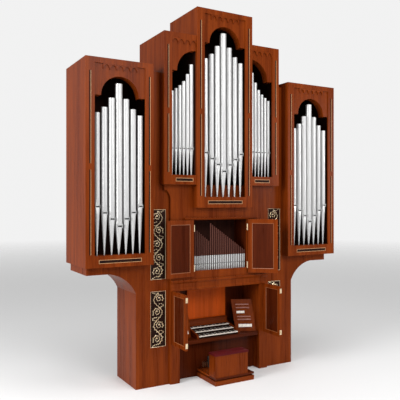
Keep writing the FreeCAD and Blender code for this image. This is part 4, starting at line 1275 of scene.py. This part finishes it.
AMBIENT = 0.5
BACKGROUND_GREY = 0.885
FLOOR_GREY = 0.79
FLOOR_FADE = (0.1, 0.6)      # start and end of the floor's fade, as shares of its reach
LIGHT_AIM = Vector((0.0, 0.0, 3.0))
STUDIO_LIGHTS = (            # name, place, size, power
    ("side_light", (-12.0, -3.0, 6.0), 6.0, 1400.0),
    ("key_light", (1.0, -13.0, 9.0), 6.0, 810.0),
    ("top_light", (0.0, -4.0, 15.0), 8.0, 700.0),
    ("right_light", (7.5, -7.0, 4.5), 4.0, 210.0),
)


def build_world(scene):
    """An even pale background that lights the scene less than it shows."""
    world = bpy.data.worlds.new("studio")
    scene.world = world
    world.use_nodes = True
    tree = world.node_tree
    back = tree.nodes["Background"]
    back.inputs["Color"].default_value = (*[BACKGROUND_GREY] * 3, 1.0)
    path = tree.nodes.new("ShaderNodeLightPath")
    strength = spread(tree, path.outputs["Is Camera Ray"], 0.0, 1.0, AMBIENT, 1.0)
    tree.links.new(strength, back.inputs["Strength"])


def build_floor(reach):
    """A pale round floor that fades into the background."""
    mesh = bpy.data.meshes.new("floor")
    bm = bmesh.new()
    bmesh.ops.create_circle(bm, cap_ends=True, segments=64, radius=reach)
    bm.to_mesh(mesh)
    bm.free()
    floor = link_object("floor", mesh)
    material = bpy.data.materials.new("studio_floor")
    material.use_nodes = True
    tree = material.node_tree
    shader = tree.nodes["Principled BSDF"]
    shader.inputs["Base Color"].default_value = (*[FLOOR_GREY] * 3, 1.0)
    shader.inputs["Roughness"].default_value = 0.6
    place = tree.nodes.new("ShaderNodeTexCoord").outputs["Object"]
    length = add_node(tree, "ShaderNodeVectorMath", [(place, 0)], operation="LENGTH")
    start, end = FLOOR_FADE
    fade = spread(tree, length.outputs["Value"], reach * start, reach * end)
    clear = tree.nodes.new("ShaderNodeBsdfTransparent")
    mix = add_node(tree, "ShaderNodeMixShader", [(fade, "Fac"), (shader, 1), (clear, 2)])
    tree.links.new(mix.outputs[0], tree.nodes["Material Output"].inputs["Surface"])
    mesh.materials.append(material)


def build_stage():
    scene = bpy.context.scene
    studio = scene.organ_studio
    scene.view_settings.view_transform = "Standard"
    build_world(scene)
    build_floor(studio.floor_reach)
    for name, place, size, power in STUDIO_LIGHTS:
        data = bpy.data.lights.new(name, "AREA")
        data.shape = "DISK"
        data.size = size
        data.energy = power
        lamp = link_object(name, data)
        lamp.location = place
        aim = LIGHT_AIM - Vector(place)
        lamp.rotation_euler = aim.to_track_quat("-Z", "Y").to_euler()
    data = bpy.data.cameras.new("camera")
    data.lens = studio.camera_lens
    data.sensor_width = 36.0
    camera = link_object("camera", data)
    camera.location = studio.camera_place
    camera.rotation_euler = (math.radians(90.0), 0.0, -studio.camera_turn)
    scene.camera = camera


# ---------------------------------------------------------------- operators

class OrganStep:
    bl_options = {"REGISTER", "UNDO"}
    step = None

    def execute(self, context):
        type(self).step()
        return {"FINISHED"}


class ORGAN_OT_stage(OrganStep, bpy.types.Operator):
    """Floor, soft studio lights and camera"""

    bl_idname = "organ.stage"
    bl_label = "Studio"
    step = staticmethod(build_stage)


class ORGAN_OT_boards(OrganStep, bpy.types.Operator):
    """Finishes on the boards of the frame"""

    bl_idname = "organ.boards"
    bl_label = "Board finishes"
    step = staticmethod(finish_boards)


class ORGAN_OT_pipes(OrganStep, bpy.types.Operator):
    """Front pipes and small pipes with their mouths, ears and open tops"""

    bl_idname = "organ.pipes"
    bl_label = "Pipes"
    step = staticmethod(build_pipes)


class ORGAN_OT_towers(OrganStep, bpy.types.Operator):
    """Inlay, inset plates and arched valances of the towers"""

    bl_idname = "organ.towers"
    bl_label = "Tower details"
    step = staticmethod(build_tower_details)


class ORGAN_OT_shade_linings(OrganStep, bpy.types.Operator):
    """Dark boards that paint the shade inside the towers"""

    bl_idname = "organ.linings"
    bl_label = "Tower shade linings"
    step = staticmethod(build_shade_linings)


class ORGAN_OT_carvings(OrganStep, bpy.types.Operator):
    """Gilt frames and scrolling foliage of the carved panels"""

    bl_idname = "organ.carvings"
    bl_label = "Carved panels"
    step = staticmethod(build_carvings)


class ORGAN_OT_doors(OrganStep, bpy.types.Operator):
    """Beads, sunk panels and reeds of the doors"""

    bl_idname = "organ.doors"
    bl_label = "Doors"
    step = staticmethod(build_doors)


class ORGAN_OT_manuals(OrganStep, bpy.types.Operator):
    """Keys of the three manuals"""

    bl_idname = "organ.manuals"
    bl_label = "Manuals"
    step = staticmethod(build_manuals)


class ORGAN_OT_stop_tabs(OrganStep, bpy.types.Operator):
    """Rocker tabs on the stop jambs"""

    bl_idname = "organ.stop_tabs"
    bl_label = "Stop tabs"
    step = staticmethod(build_stop_tabs)


class ORGAN_OT_music_panel(OrganStep, bpy.types.Operator):
    """Name board and music panel over the manuals"""

    bl_idname = "organ.music_panel"
    bl_label = "Music panel"
    step = staticmethod(build_music_panel)


class ORGAN_OT_pedals(OrganStep, bpy.types.Operator):
    """Pedal keys and swell shoes"""

    bl_idname = "organ.pedals"
    bl_label = "Pedals"
    step = staticmethod(build_pedals)


class ORGAN_OT_bench(OrganStep, bpy.types.Operator):
    """Seat of the bench"""

    bl_idname = "organ.bench"
    bl_label = "Bench"
    step = staticmethod(build_bench)


STEPS = (
    ORGAN_OT_stage, ORGAN_OT_boards, ORGAN_OT_pipes, ORGAN_OT_towers, ORGAN_OT_shade_linings,
    ORGAN_OT_carvings, ORGAN_OT_doors, ORGAN_OT_manuals, ORGAN_OT_stop_tabs,
    ORGAN_OT_music_panel, ORGAN_OT_pedals, ORGAN_OT_bench)


class ORGAN_PT_panel(bpy.types.Panel):
    """Lists the steps that dress the organ"""

    bl_idname = "ORGAN_PT_panel"
    bl_label = "Pipe Organ"
    bl_space_type = "VIEW_3D"
    bl_region_type = "UI"
    bl_category = "Pipe Organ"

    def draw(self, context):
        for step in STEPS:
            self.layout.operator(step.bl_idname)


CLASSES = (CaseFinish, StudioSettings, *STEPS, ORGAN_PT_panel)


def register():
    for kind in CLASSES:
        bpy.utils.register_class(kind)
    bpy.types.Scene.organ_finish = bpy.props.PointerProperty(type=CaseFinish)
    bpy.types.Scene.organ_studio = bpy.props.PointerProperty(type=StudioSettings)


def unregister():
    del bpy.types.Scene.organ_studio
    del bpy.types.Scene.organ_finish
    for kind in reversed(CLASSES):
        bpy.utils.unregister_class(kind)


def main():
    register()
    for build in (build_wood_figure, build_patina, build_materials, build_row_tree,
                  build_keyboard_tree, build_pipe_tree, build_foliage_tree):
        build()
    for step in STEPS:
        family, name = step.bl_idname.split(".")
        getattr(getattr(bpy.ops, family), name)()


if __name__ == "__main__":
    main()
